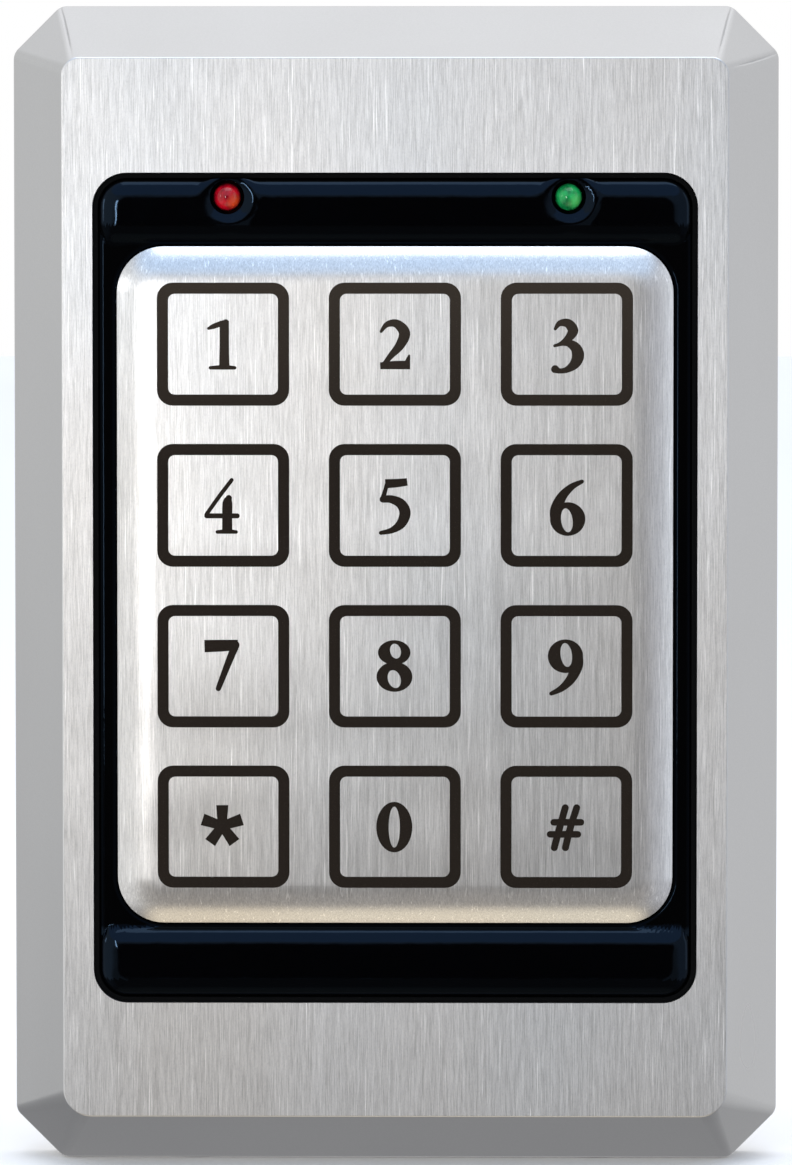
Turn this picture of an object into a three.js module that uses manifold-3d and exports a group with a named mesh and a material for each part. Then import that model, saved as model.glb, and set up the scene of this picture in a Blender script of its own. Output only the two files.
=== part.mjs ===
// A surface-mounted keypad access reader: a bevelled stainless steel housing round a sealed keypad
// module with a one-piece pressed key plate, twelve piezo key sensors and two indicator lamps,
// on a steel back plate that screws to a single-gang wall box.
//
// Lengths are millimetres. Every piece is drawn in the panel frame: X to the right, Y up the wall and
// Z out of the wall towards the user, with the origin on the wall behind the reader's centre. The group
// at the end turns that frame so that +Z is up and the reader faces -Y.

import * as THREE from "three";
import { mergeVertices } from "three/addons/utils/BufferGeometryUtils.js";
import Module from "manifold-3d";

const wasm = await Module();
wasm.setup();

// ---------------------------------------------------------------- driving dimensions

const GAP = 0.05; // between faces that meet
const ARC_STEPS = 4; // straight steps in a quarter turn of a rounded corner
const ROUND_SIDES = 20; // sides of a small turned piece
const SCREW_SIDES = 16; // sides of a screw, stud or nut thread
const HOLE_SIDES = 12; // sides of a small hole
const MIN_RADIUS = 0.5; // no rounded corner is tighter than this
const OVERLAP = 0.2; // how far solids that are joined run into each other
const PAST = 1; // how far a cutting solid runs past the faces that it cuts
const THREAD_GAP = 0.06; // between a thread and its nut
const WELD = 1e-4; // points closer than this are one point

const HOUSING = {
  width: 76.2,
  height: 115.2,
  depth: 16,
  skirt: 6.5, // straight part of the side walls, from the wall to the start of the bevel
  inset: 5.3, // how far the bevel comes in, all round
  wall: 1.5,
  rearGap: 0.3,
  cornerLeg: 4.7,
  cornerRadius: 2,
};
const WINDOW = { width: 59.6, height: 82, radius: 3.4 };
// The rail inside the housing's top wall that the back plate's hooks hold.
const HOOK_RAIL = { width: 40, reach: 1.3, root: 0.5, rear: 3.2, front: 4.4 };

const KEY_PLATE = {
  width: 54.8,
  height: 66.8,
  radius: 4.6,
  centreY: 0.35,
  face: 17,
  rear: 14.4,
  roll: 2.2, // radius of the rolled edge
  sheet: 0.8,
  arcSteps: 6,
  rollSteps: 5,
};
const KEYS = {
  columns: 3,
  rows: 4,
  pitchX: 16.9,
  pitchY: 15.86,
  centreY: 0.36,
  names: ["1", "2", "3", "4", "5", "6", "7", "8", "9", "star", "0", "hash"],
};

const FRAME = {
  rim: 0.6, // sealing gap between the land and the housing's window
  face: 16.2,
  flangeFront: 13.7,
  flangeRear: 11.7,
  flangeWidth: 62.4,
  flangeHeight: 101,
  flangeRadius: 3,
  pocketFloor: 14.3,
  pocketGap: 0.15,
  throughWidth: 47,
  throughHeight: 59,
  caseWidth: 60.4,
  caseHeight: 84.4,
  caseRadius: 2,
  caseWall: 1.5,
  caseRear: 4.4,
  reliefWidth: 14, // recess in each end of the case, for the head of a wall-box screw
  reliefDepth: 5,
  bossSize: 6,
  pilotRadius: 1.08,
};
const GASKET = { width: 62, height: 88, radius: 2, lipDrop: 0.4 };
const LAMP = {
  centreX: 0.28, // the pair of lamps is this far to the right of the reader's centre line
  x: 16.8,
  y: 38.6,
  radius: 1.32,
  flangeRadius: 1.55,
  flangeHeight: 1,
  boreRadius: 1.7,
  tip: 16.5,
  domeSteps: 4,
  dishRadius: 2.1,
  dishDepth: 0.7,
  dishDrop: 0.4, // the dish sits this much below the lamp
  leadPitch: 1.27,
  leadSize: 0.5,
  leadHole: 0.5,
  leadEnd: 0.8, // how far a lead comes out of the board's solder side
};

const DISC = { brassRadius: 5, brassFront: 16.15, brassRear: 15.93, ceramicRadius: 3.7, rear: 15.68 };
const SPACER = { width: 51, height: 63, radius: 2.6, discGap: 0.4 };
const SENSOR_BOARD = { front: 15.6, rear: 14.6, inset: 1.4, radius: 3 };
const BOARD_LINK = { width: 20.3, height: 2.5, y: -24 };
const CONTROL_BOARD = { inset: 1.9, front: 11.4, rear: 9.8, notch: 5.6 };

// Parts on the board's solder side. A size is width, height and how far it stands off the board.
const MICROCONTROLLER = { x: 4, y: 4, size: [7, 7, 1.2] };
const SOUNDER = { x: 14, y: 22, radius: 6, standoff: 4.2, portRadius: 1, portDepth: 0.8 };
const RELAY = { x: -20.5, y: -4, size: [10, 15, 5.2] };
const REGULATOR = { x: 20, y: -4, body: [6.5, 6, 2.3], tab: [5.2, 9, 0.5], tabRise: 0.6 };
const CAPACITOR = { x: 20, y: -24, foot: [5.3, 5.3, 0.8], radius: 2.5, standoff: 5.3 };
const CRYSTAL = { x: 3, y: 14, width: 10.4, height: 4.2, radius: 2, standoff: 3.4 };
const JUMPER = { x: -2, y: 31, strip: [7.6, 2.5, 1.6], cap: [5, 2.4, 4.9], capX: -1.27 };
const SOCKET = {
  width: 20.4,
  height: 8.8,
  y: -17,
  rear: 4.5,
  wall: 1.2,
  floor: 1.5,
  columns: 5,
  pitch: 2.54,
  pin: 0.64,
  pinDrop: 2, // from the mouth to the tips of the pins
  pinRoot: 1,
  keyWidth: 4.5,
  keyRoot: 3,
};

const COVER = { front: 3.9, rear: 2.4, lip: 1.2, lipFront: 5, lipGap: 0.2, bossGap: 0.3, sealInset: 0.1 };
const BAY = { width: 29, height: 20, radius: 2 }; // opening in the back cover, round the wiring header

const PLATE = {
  sheet: 1.5,
  flange: 1.2,
  flangeFront: 6.2,
  edgeGap: 1.4, // from the housing's inside to the outside of the plate's flange
  cableWidth: 34,
  cableHeight: 26,
  cableRadius: 3,
  cableY: -17,
  boxScrewY: 41.65, // half of a single-gang box's 83.3 mm screw spacing
  slotWidth: 9,
  slotHeight: 4.8,
  slotRadius: 2.39, // a shade under half of the slot's height
  wallHoleX: 27,
  wallHoleY: 47.5,
  wallHoleRadius: 2.3,
  grommetRadius: 2.4,
};
const HOOK = { x: 14, width: 8, reach: 1.1, rear: 5 };
const PERIMETER_SEAL = { gap: 0.1, rear: 0.35, front: 1.5 };

const STUD = { x: 20, y: 46.5, radius: 1.5, end: 8.7, holeRadius: 1.75 };
const STUD_NUT = { acrossFlats: 5.5, rear: 9.2 };
const CROSS_SLOT = { length: 2, width: 0.5, depth: 0.6 };
const BOARD_SCREW = {
  x: 25.4,
  y: 20,
  headRadius: 1.9,
  topRadius: 1.5,
  headHeight: 1.3,
  rimHeight: 0.8,
  shankRadius: 1,
  end: 13.7,
  pilotEnd: 13.9,
  holeRadius: 1.2,
};
const COVER_SCREW = {
  x: 25.8,
  y: 37.8,
  headRadius: 1.85,
  sinkRadius: 1.95,
  shankRadius: 1,
  holeRadius: 1.15,
  end: 8.9,
  pilotEnd: 9.1,
};
const HOUSING_SCREW = {
  x: 20,
  z: 3.9,
  headRadius: 2.3,
  shankRadius: 1.25,
  length: 6.8,
  holeGap: 0.2,
  socketRadius: 1,
  socketDepth: 0.8,
};
// A clinch nut: a shank through the plate's flange and a round head inside it.
const CLINCH_NUT = { shankRadius: 1.7, shankLength: 1.4, headRadius: 2.25, length: 3.2 };

const TAMPER = { x: -18, y: 22, rodRadius: 1.45, chamfer: 0.4, collarRadius: 4.4, coverGap: 0.15 };
const PLUNGER = { collarRear: 6, collarFront: 6.8, top: 7.2 };
const GROMMET = { neckRadius: 2.35, radius: 3.6, front: 2.3, rodGap: 0.12 };
const SWITCH = { size: 4.4, standoff: 2, buttonRadius: 1.1 };
const SPRING = { wireRadius: 0.25, coilRadius: 3.85, turns: 2.75, steps: 44, wireSides: 6 };

// ---------------------------------------------------------------- materials

const finish = (color, roughness, metalness) =>
  new THREE.MeshStandardMaterial({ color, roughness, metalness });

const MATERIALS = {
  steel: finish(0xc4c4c2, 0.34, 1),
  zinc: finish(0xb4b8bc, 0.4, 1),
  screwSteel: finish(0x9c9c9c, 0.3, 1),
  blackGloss: finish(0x050608, 0.08, 0),
  blackMatte: finish(0x101112, 0.6, 0),
  rubber: finish(0x0b0b0b, 0.85, 0),
  brass: finish(0xc9a24a, 0.3, 1),
  laminate: finish(0x14532d, 0.45, 0),
  spacer: finish(0xd8c9a0, 0.6, 0),
  redLens: finish(0xc01020, 0.12, 0),
  greenLens: finish(0x1f9a45, 0.12, 0),
  canMetal: finish(0xc0c2c4, 0.25, 1),
  spring: finish(0xb8b8b8, 0.25, 1),
};

// ---------------------------------------------------------------- shape tools

function roundedRect(width, height, radius) {
  const [x, y] = [width / 2, height / 2];
  const shape = new THREE.Shape();
  shape.absarc(x - radius, y - radius, radius, 0, Math.PI / 2);
  shape.absarc(-x + radius, y - radius, radius, Math.PI / 2, Math.PI);
  shape.absarc(-x + radius, -y + radius, radius, Math.PI, 1.5 * Math.PI);
  shape.absarc(x - radius, -y + radius, radius, 1.5 * Math.PI, 2 * Math.PI);
  return shape;
}

// Points round a rectangle whose corners are cut at 45 degrees and whose eight vertices are rounded,
// each in a few straight steps.
function cutCornerOutline(width, height, leg, radius, steps = 2) {
  const [x, y] = [width / 2, height / 2];
  const turn = Math.PI / 4;
  const tangent = radius * Math.tan(turn / 2);
  const corners = [
    [x, y - leg, 0],
    [x - leg, y, 1],
    [-x + leg, y, 2],
    [-x, y - leg, 3],
    [-x, -y + leg, 4],
    [-x + leg, -y, 5],
    [x - leg, -y, 6],
    [x, -y + leg, 7],
  ];
  const points = [];
  for (const [cx, cy, index] of corners) {
    const heading = Math.PI / 2 + index * turn; // travelling anticlockwise into this vertex
    const startX = cx - tangent * Math.cos(heading);
    const startY = cy - tangent * Math.sin(heading);
    const centreX = startX - radius * Math.sin(heading);
    const centreY = startY + radius * Math.cos(heading);
    for (let step = 0; step <= steps; step++) {
      const angle = heading - Math.PI / 2 + (turn * step) / steps;
      points.push(
        new THREE.Vector2(centreX + radius * Math.cos(angle), centreY + radius * Math.sin(angle)),
      );
    }
  }
  return points;
}

// The keypad module's case in plan: a rounded rectangle with a square recess in each end.
function caseOutline(inset) {
  const [x, y] = [FRAME.caseWidth / 2 - inset, FRAME.caseHeight / 2 - inset];
  const [reliefX, reliefY] = [FRAME.reliefWidth / 2 + inset, y - FRAME.reliefDepth];
  const radius = Math.max(FRAME.caseRadius - inset, MIN_RADIUS);
  const shape = new THREE.Shape();
  shape.absarc(x - radius, y - radius, radius, 0, Math.PI / 2);
  shape.lineTo(reliefX, y);
  shape.lineTo(reliefX, reliefY);
  shape.lineTo(-reliefX, reliefY);
  shape.lineTo(-reliefX, y);
  shape.absarc(-x + radius, y - radius, radius, Math.PI / 2, Math.PI);
  shape.absarc(-x + radius, -y + radius, radius, Math.PI, 1.5 * Math.PI);
  shape.lineTo(-reliefX, -y);
  shape.lineTo(-reliefX, -reliefY);
  shape.lineTo(reliefX, -reliefY);
  shape.lineTo(reliefX, -y);
  shape.absarc(x - radius, -y + radius, radius, 1.5 * Math.PI, 2 * Math.PI);
  return shape;
}

// A closed skin through outlines that all have the same number of points, each at its own height.
function stack(levels) {
  const count = levels[0].points.length;
  const positions = [];
  for (const { points, z } of levels) for (const p of points) positions.push(p.x, p.y, z);
  const faces = [];
  for (let level = 0; level + 1 < levels.length; level++) {
    for (let i = 0; i < count; i++) {
      const [a, b] = [level * count + i, level * count + ((i + 1) % count)];
      faces.push(a, b, b + count, a, b + count, a + count);
    }
  }
  const top = (levels.length - 1) * count;
  for (const [a, b, c] of THREE.ShapeUtils.triangulateShape(levels[0].points, [])) {
    faces.push(c, b, a);
  }
  for (const [a, b, c] of THREE.ShapeUtils.triangulateShape(levels.at(-1).points, [])) {
    faces.push(top + a, top + b, top + c);
  }
  const geometry = new THREE.BufferGeometry();
  geometry.setAttribute("position", new THREE.Float32BufferAttribute(positions, 3));
  geometry.setIndex(faces);
  return solid(geometry);
}

function solid(geometry) {
  const bare = geometry.index ? geometry : geometry.clone();
  bare.deleteAttribute("normal");
  bare.deleteAttribute("uv");
  const merged = mergeVertices(bare, WELD);
  return new wasm.Manifold(
    new wasm.Mesh({
      numProp: 3,
      vertProperties: merged.attributes.position.array,
      triVerts: new Uint32Array(merged.index.array),
    }),
  );
}

const extrude = (shape, z0, z1, curveSegments = ARC_STEPS) =>
  solid(
    new THREE.ExtrudeGeometry(shape, { depth: z1 - z0, bevelEnabled: false, curveSegments }).translate(
      0,
      0,
      z0,
    ),
  );

const box = (width, height, z0, z1) =>
  solid(new THREE.BoxGeometry(width, height, z1 - z0).translate(0, 0, (z0 + z1) / 2));

// A solid of revolution about Z from [radius, z] points that run from the axis back to the axis.
const turned = (profile, sides = ROUND_SIDES) =>
  solid(
    new THREE.LatheGeometry(
      profile.map(([radius, z]) => new THREE.Vector2(radius, z)),
      sides,
    ).rotateX(Math.PI / 2),
  );

const rod = (radius, z0, z1, sides = ROUND_SIDES) =>
  turned(
    [
      [0, z0],
      [radius, z0],
      [radius, z1],
      [0, z1],
    ],
    sides,
  );

const hexagon = (acrossFlats, z0, z1) => rod(acrossFlats / Math.sqrt(3), z0, z1, 6);

const frameOf = (outer, inner, z0, z1) =>
  extrude(outer, z0, z1).subtract(extrude(inner, z0 - PAST, z1 + PAST));

const union = (first, ...others) => others.reduce((made, other) => made.add(other), first);

const cut = (first, ...others) => others.reduce((made, other) => made.subtract(other), first);

const corners = (x, y) => [
  ["top_left", -x, y],
  ["top_right", x, y],
  ["bottom_left", -x, -y],
  ["bottom_right", x, -y],
];

const atCorners = (made, x, y) => corners(x, y).map(([, cx, cy]) => made.translate([cx, cy, 0]));

// ---------------------------------------------------------------- assembly group

const reader = new THREE.Group();
reader.rotation.x = Math.PI / 2;

function add(name, material, made, position = [0, 0, 0]) {
  const { numProp, vertProperties, triVerts } = made.getMesh();
  const positions = new Float32Array((vertProperties.length / numProp) * 3);
  for (let i = 0; i < positions.length / 3; i++) {
    positions.set(vertProperties.subarray(i * numProp, i * numProp + 3), i * 3);
  }
  const geometry = new THREE.BufferGeometry();
  geometry.setAttribute("position", new THREE.BufferAttribute(positions, 3));
  geometry.setIndex(new THREE.BufferAttribute(triVerts, 1));
  const mesh = new THREE.Mesh(geometry, MATERIALS[material]);
  mesh.name = name;
  mesh.position.set(...position);
  reader.add(mesh);
  return mesh;
}

// ---------------------------------------------------------------- housing

// The housing's outline, brought in by an offset that is the same on all eight sides.
function housingOutline(offset) {
  const { width, height, cornerLeg, cornerRadius } = HOUSING;
  return cutCornerOutline(
    width - 2 * offset,
    height - 2 * offset,
    cornerLeg - offset * (2 - Math.SQRT2),
    Math.max(cornerRadius - offset / 4, MIN_RADIUS),
  );
}

const bevelSlope = HOUSING.inset / (HOUSING.depth - HOUSING.skirt);
const bendAngle = Math.atan(bevelSlope);
const innerBend = HOUSING.skirt - HOUSING.wall * Math.tan(bendAngle / 2);
const innerFace = HOUSING.depth - HOUSING.wall;

// How far the housing's inner skin is inside the outline at a height above the wall.
const innerOffset = (z) => HOUSING.wall + Math.max(0, z - innerBend) * bevelSlope;

// A countersunk hole along Z whose wide end is at z = 0 and faces -Z.
const countersink = (headRadius, shankRadius, depth) =>
  turned([
    [0, -PAST],
    [headRadius, -PAST],
    [headRadius, 0],
    [shankRadius, headRadius - shankRadius],
    [shankRadius, depth],
    [0, depth],
  ]);

function makeHousing() {
  const { depth, skirt, inset, rearGap, wall, height } = HOUSING;
  const shell = stack([
    { points: housingOutline(0), z: rearGap },
    { points: housingOutline(0), z: skirt },
    { points: housingOutline(inset), z: depth },
  ]);
  const hollow = stack([
    { points: housingOutline(wall), z: -PAST },
    { points: housingOutline(wall), z: innerBend },
    { points: housingOutline(innerOffset(innerFace)), z: innerFace },
  ]);
  const window = extrude(roundedRect(WINDOW.width, WINDOW.height, WINDOW.radius), skirt, depth + PAST);
  const stud = rod(STUD.radius, STUD.end, innerFace + OVERLAP, SCREW_SIDES);
  const innerTop = height / 2 - wall;
  const { reach, root } = HOOK_RAIL;
  const rail = box(HOOK_RAIL.width, reach + root, HOOK_RAIL.rear, HOOK_RAIL.front);
  const body = union(
    cut(shell, hollow, window),
    ...atCorners(stud, STUD.x, STUD.y),
    rail.translate([0, innerTop + (root - reach) / 2, 0]),
  );
  const { headRadius, shankRadius, holeGap } = HOUSING_SCREW;
  const screwHoles = [-1, 1].map((side) =>
    countersink(headRadius + GAP, shankRadius + holeGap, 2 * wall)
      .rotate([-90, 0, 0])
      .translate([side * HOUSING_SCREW.x, -height / 2, HOUSING_SCREW.z]),
  );
  add("housing", "steel", cut(body, ...screwHoles));
}

// ---------------------------------------------------------------- keypad module

const landWidth = WINDOW.width - 2 * FRAME.rim;
const landHeight = WINDOW.height - 2 * FRAME.rim;
const landRadius = WINDOW.radius - FRAME.rim;

const lampX = (side) => LAMP.centreX + side * LAMP.x;

// A bore with a shallow dish round its front end.
function lampWell() {
  const dishFloor = FRAME.face - LAMP.dishDepth;
  const dish = turned([
    [0, dishFloor],
    [LAMP.boreRadius - LAMP.dishDrop, dishFloor],
    [LAMP.dishRadius, FRAME.face],
    [LAMP.dishRadius, FRAME.face + PAST],
    [0, FRAME.face + PAST],
  ]);
  const bore = rod(LAMP.boreRadius, FRAME.flangeRear - PAST, FRAME.face + PAST);
  return union(bore, dish.translate([0, -LAMP.dishDrop, 0]));
}

function makeFrame() {
  const { face, flangeRear, flangeFront, caseRear, pocketGap, pilotRadius } = FRAME;
  const land = extrude(roundedRect(landWidth, landHeight, landRadius), flangeRear, face);
  const flange = extrude(
    roundedRect(FRAME.flangeWidth, FRAME.flangeHeight, FRAME.flangeRadius),
    flangeRear,
    flangeFront,
  );
  const rootZ = flangeRear + OVERLAP;
  const sides = frameOf(caseOutline(0), caseOutline(FRAME.caseWall), caseRear, rootZ);
  const boss = box(FRAME.bossSize, FRAME.bossSize, caseRear, rootZ);
  const body = union(land, flange, sides, ...atCorners(boss, COVER_SCREW.x, COVER_SCREW.y));

  const pocket = extrude(
    roundedRect(
      KEY_PLATE.width + 2 * pocketGap,
      KEY_PLATE.height + 2 * pocketGap,
      KEY_PLATE.radius + pocketGap,
    ),
    FRAME.pocketFloor,
    face + PAST,
  );
  const through = box(FRAME.throughWidth, FRAME.throughHeight, flangeRear - PAST, face);
  const plateRoom = union(pocket, through).translate([0, KEY_PLATE.centreY, 0]);
  const lampWells = [-1, 1].map((side) => lampWell().translate([lampX(side), LAMP.y, 0]));
  const studHole = rod(STUD.holeRadius, flangeRear - PAST, flangeFront + PAST, SCREW_SIDES);
  const boardPilot = rod(pilotRadius, flangeRear - PAST, BOARD_SCREW.pilotEnd, HOLE_SIDES);
  const coverPilot = rod(pilotRadius, caseRear - PAST, COVER_SCREW.pilotEnd, HOLE_SIDES);
  const holes = [
    ...atCorners(studHole, STUD.x, STUD.y),
    ...atCorners(boardPilot, BOARD_SCREW.x, BOARD_SCREW.y),
    ...atCorners(coverPilot, COVER_SCREW.x, COVER_SCREW.y),
  ];
  add("module_frame", "blackGloss", cut(body, plateRoom, ...lampWells, ...holes));
}

function makeWindowGasket() {
  const rear = FRAME.flangeFront + GAP;
  const base = extrude(roundedRect(GASKET.width, GASKET.height, GASKET.radius), rear, innerFace - GAP);
  const lip = extrude(
    roundedRect(WINDOW.width - 2 * GAP, WINDOW.height - 2 * GAP, WINDOW.radius - GAP),
    rear,
    HOUSING.depth - GASKET.lipDrop,
  );
  const hole = roundedRect(landWidth + 2 * GAP, landHeight + 2 * GAP, landRadius + GAP);
  add("window_gasket", "rubber", cut(union(base, lip), extrude(hole, rear - PAST, HOUSING.depth)));
}

// The pressed pan: its outline at each height, with the edge rolled over a quarter circle.
function panLevels(offset, faceZ, roll, rearZ) {
  const { width, height, radius, arcSteps, rollSteps } = KEY_PLATE;
  const outline = (inset) =>
    roundedRect(
      width - 2 * inset,
      height - 2 * inset,
      Math.max(radius - inset, MIN_RADIUS),
    ).getPoints(arcSteps);
  const levels = [{ points: outline(offset), z: rearZ }];
  for (let step = 0; step <= rollSteps; step++) {
    const angle = (Math.PI / 2) * (step / rollSteps);
    levels.push({
      points: outline(offset + roll * (1 - Math.cos(angle))),
      z: faceZ - roll * (1 - Math.sin(angle)),
    });
  }
  return levels;
}

function makeKeyPlate() {
  const { face, rear, roll, sheet } = KEY_PLATE;
  const outer = stack(panLevels(0, face, roll, rear));
  const inner = stack(panLevels(sheet, face - sheet, roll - sheet, rear - PAST));
  add("key_plate", "steel", outer.subtract(inner), [0, KEY_PLATE.centreY, 0]);
}

// Centres of the twelve keys, in reading order.
const keyCentres = KEYS.names.map((name, index) => ({
  name,
  x: ((index % KEYS.columns) - (KEYS.columns - 1) / 2) * KEYS.pitchX,
  y: KEYS.centreY + ((KEYS.rows - 1) / 2 - Math.floor(index / KEYS.columns)) * KEYS.pitchY,
}));

function makeKeySensors() {
  const disc = turned([
    [0, DISC.rear],
    [DISC.ceramicRadius, DISC.rear],
    [DISC.ceramicRadius, DISC.brassRear],
    [DISC.brassRadius, DISC.brassRear],
    [DISC.brassRadius, DISC.brassFront],
    [0, DISC.brassFront],
  ]);
  for (const { name, x, y } of keyCentres) add(`piezo_disc_${name}`, "brass", disc, [x, y, 0]);

  const hole = rod(DISC.brassRadius + SPACER.discGap, DISC.rear - PAST, DISC.brassFront + PAST);
  const holes = keyCentres.map(({ x, y }) => hole.translate([x, y, 0]));
  const spacer = extrude(
    roundedRect(SPACER.width, SPACER.height, SPACER.radius),
    DISC.rear,
    DISC.brassFront,
  ).translate([0, KEY_PLATE.centreY, 0]);
  add("disc_spacer", "spacer", cut(spacer, ...holes));
}

function makeSensorBoard() {
  const { inset, rear, front, radius } = SENSOR_BOARD;
  const outline = roundedRect(KEY_PLATE.width - 2 * inset, KEY_PLATE.height - 2 * inset, radius);
  add("sensor_board", "laminate", extrude(outline, rear, front), [0, KEY_PLATE.centreY, 0]);
  const strip = box(BOARD_LINK.width, BOARD_LINK.height, CONTROL_BOARD.front + GAP, rear - GAP);
  add("board_link_header", "blackMatte", strip, [0, BOARD_LINK.y, 0]);
}

function makeLamp(name, material, side) {
  const { radius, tip, domeSteps, flangeRadius, flangeHeight, leadSize, leadPitch } = LAMP;
  const dome = [];
  for (let step = 0; step <= domeSteps; step++) {
    const angle = (Math.PI / 2) * (step / domeSteps);
    dome.push([radius * Math.cos(angle), tip - radius * (1 - Math.sin(angle))]);
  }
  const base = CONTROL_BOARD.front + GAP;
  const lens = turned([
    [0, base],
    [flangeRadius, base],
    [flangeRadius, base + flangeHeight],
    [radius, base + flangeHeight],
    ...dome,
  ]);
  const lead = box(leadSize, leadSize, CONTROL_BOARD.rear - LAMP.leadEnd, base + OVERLAP);
  const leads = [-1, 1].map((end) => lead.translate([end * leadPitch, 0, 0]));
  add(name, material, union(lens, ...leads), [lampX(side), LAMP.y, 0]);
}

// ---------------------------------------------------------------- control board and what is on it

const onBoard = CONTROL_BOARD.rear - GAP; // where a part on the solder side, which faces the wall, starts

const block = ([width, height, standoff]) => box(width, height, onBoard - standoff, onBoard);

function makeControlBoard() {
  const { inset, rear, front, notch } = CONTROL_BOARD;
  const [z0, z1] = [rear - PAST, front + PAST];
  const sheet = extrude(caseOutline(inset), rear, front);
  const notches = atCorners(
    box(2 * notch, 2 * notch, z0, z1),
    FRAME.caseWidth / 2 - inset,
    FRAME.caseHeight / 2 - inset,
  );
  const screwHole = rod(BOARD_SCREW.holeRadius, z0, z1, HOLE_SIDES);
  const leadHole = rod(LAMP.leadHole, z0, z1, HOLE_SIDES);
  const leadHoles = [-1, 1].flatMap((side) =>
    [-1, 1].map((end) => leadHole.translate([lampX(side) + end * LAMP.leadPitch, LAMP.y, 0])),
  );
  const screwHoles = atCorners(screwHole, BOARD_SCREW.x, BOARD_SCREW.y);
  add("control_board", "laminate", cut(sheet, ...notches, ...screwHoles, ...leadHoles));
}

function makeBoardParts() {
  const place = (name, material, made, { x, y }) => add(name, material, made, [x, y, 0]);
  place("microcontroller", "blackMatte", block(MICROCONTROLLER.size), MICROCONTROLLER);
  place("output_relay", "blackMatte", block(RELAY.size), RELAY);

  const soundTop = onBoard - SOUNDER.standoff;
  const port = rod(SOUNDER.portRadius, soundTop - PAST, soundTop + SOUNDER.portDepth, HOLE_SIDES);
  place("sounder", "blackMatte", rod(SOUNDER.radius, soundTop, onBoard).subtract(port), SOUNDER);

  const tab = block(REGULATOR.tab).translate([0, REGULATOR.tabRise, 0]);
  place("voltage_regulator", "blackMatte", union(block(REGULATOR.body), tab), REGULATOR);

  const can = rod(CAPACITOR.radius, onBoard - CAPACITOR.standoff, onBoard - OVERLAP);
  place("filter_capacitor", "canMetal", union(block(CAPACITOR.foot), can), CAPACITOR);

  const canOutline = roundedRect(CRYSTAL.width, CRYSTAL.height, CRYSTAL.radius);
  place("crystal", "canMetal", extrude(canOutline, onBoard - CRYSTAL.standoff, onBoard), CRYSTAL);

  const cap = block(JUMPER.cap).translate([JUMPER.capX, 0, 0]);
  place("option_jumper", "blackMatte", union(block(JUMPER.strip), cap), JUMPER);
}

// A shrouded two-row pin header whose mouth faces the wall through the bay in the back cover.
function makeWiringHeader() {
  const { width, height, rear, wall, floor, keyWidth, columns, pitch, pin } = SOCKET;
  const mouth = rear - PAST;
  const shroud = cut(
    box(width, height, rear, onBoard),
    box(width - 2 * wall, height - 2 * wall, mouth, onBoard - floor),
    box(keyWidth, height, mouth, onBoard - SOCKET.keyRoot).translate([0, height / 2, 0]),
  );
  const onePin = box(pin, pin, rear + SOCKET.pinDrop, onBoard - SOCKET.pinRoot);
  const pins = [];
  for (let column = 0; column < columns; column++) {
    const x = (column - (columns - 1) / 2) * pitch;
    for (const row of [-1, 1]) pins.push(onePin.translate([x, (row * pitch) / 2, 0]));
  }
  add("wiring_header", "blackMatte", union(shroud, ...pins), [0, SOCKET.y, 0]);
}

// ---------------------------------------------------------------- back cover of the module

function makeBackCover() {
  const { rear, front, lip, lipFront, lipGap, bossGap, sealInset } = COVER;
  const lipInset = FRAME.caseWall + lipGap;
  const sheet = extrude(caseOutline(0), rear, front);
  const rim = frameOf(caseOutline(lipInset), caseOutline(lipInset + lip), front - OVERLAP, lipFront);
  const bossSide = FRAME.bossSize + 2 * bossGap;
  const bossRoom = box(bossSide, bossSide, front, lipFront + PAST);
  const { sinkRadius, holeRadius } = COVER_SCREW;
  const screwHole = countersink(sinkRadius, holeRadius, 2 * (front - rear)).translate([0, 0, rear + GAP]);
  const holes = [
    ...atCorners(bossRoom, COVER_SCREW.x, COVER_SCREW.y),
    ...atCorners(screwHole, COVER_SCREW.x, COVER_SCREW.y),
  ];
  const [z0, z1] = [rear - PAST, lipFront + PAST];
  const bay = extrude(roundedRect(BAY.width, BAY.height, BAY.radius), z0, z1);
  const plungerHole = rod(TAMPER.rodRadius + TAMPER.coverGap, z0, z1);
  const cover = cut(
    union(sheet, rim),
    ...holes,
    bay.translate([0, SOCKET.y, 0]),
    plungerHole.translate([TAMPER.x, TAMPER.y, 0]),
  );
  add("module_back_cover", "blackMatte", cover);

  const sealOuter = caseOutline(sealInset);
  const sealInner = caseOutline(FRAME.caseWall - sealInset);
  add("cover_seal", "rubber", frameOf(sealOuter, sealInner, front + GAP, FRAME.caseRear - GAP));
}

// ---------------------------------------------------------------- back plate

const plateOffset = HOUSING.wall + PLATE.edgeGap;

// A hole right through the back plate's sheet.
const throughPlate = (outline) => extrude(outline, -PAST, PLATE.sheet + PAST);

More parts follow.
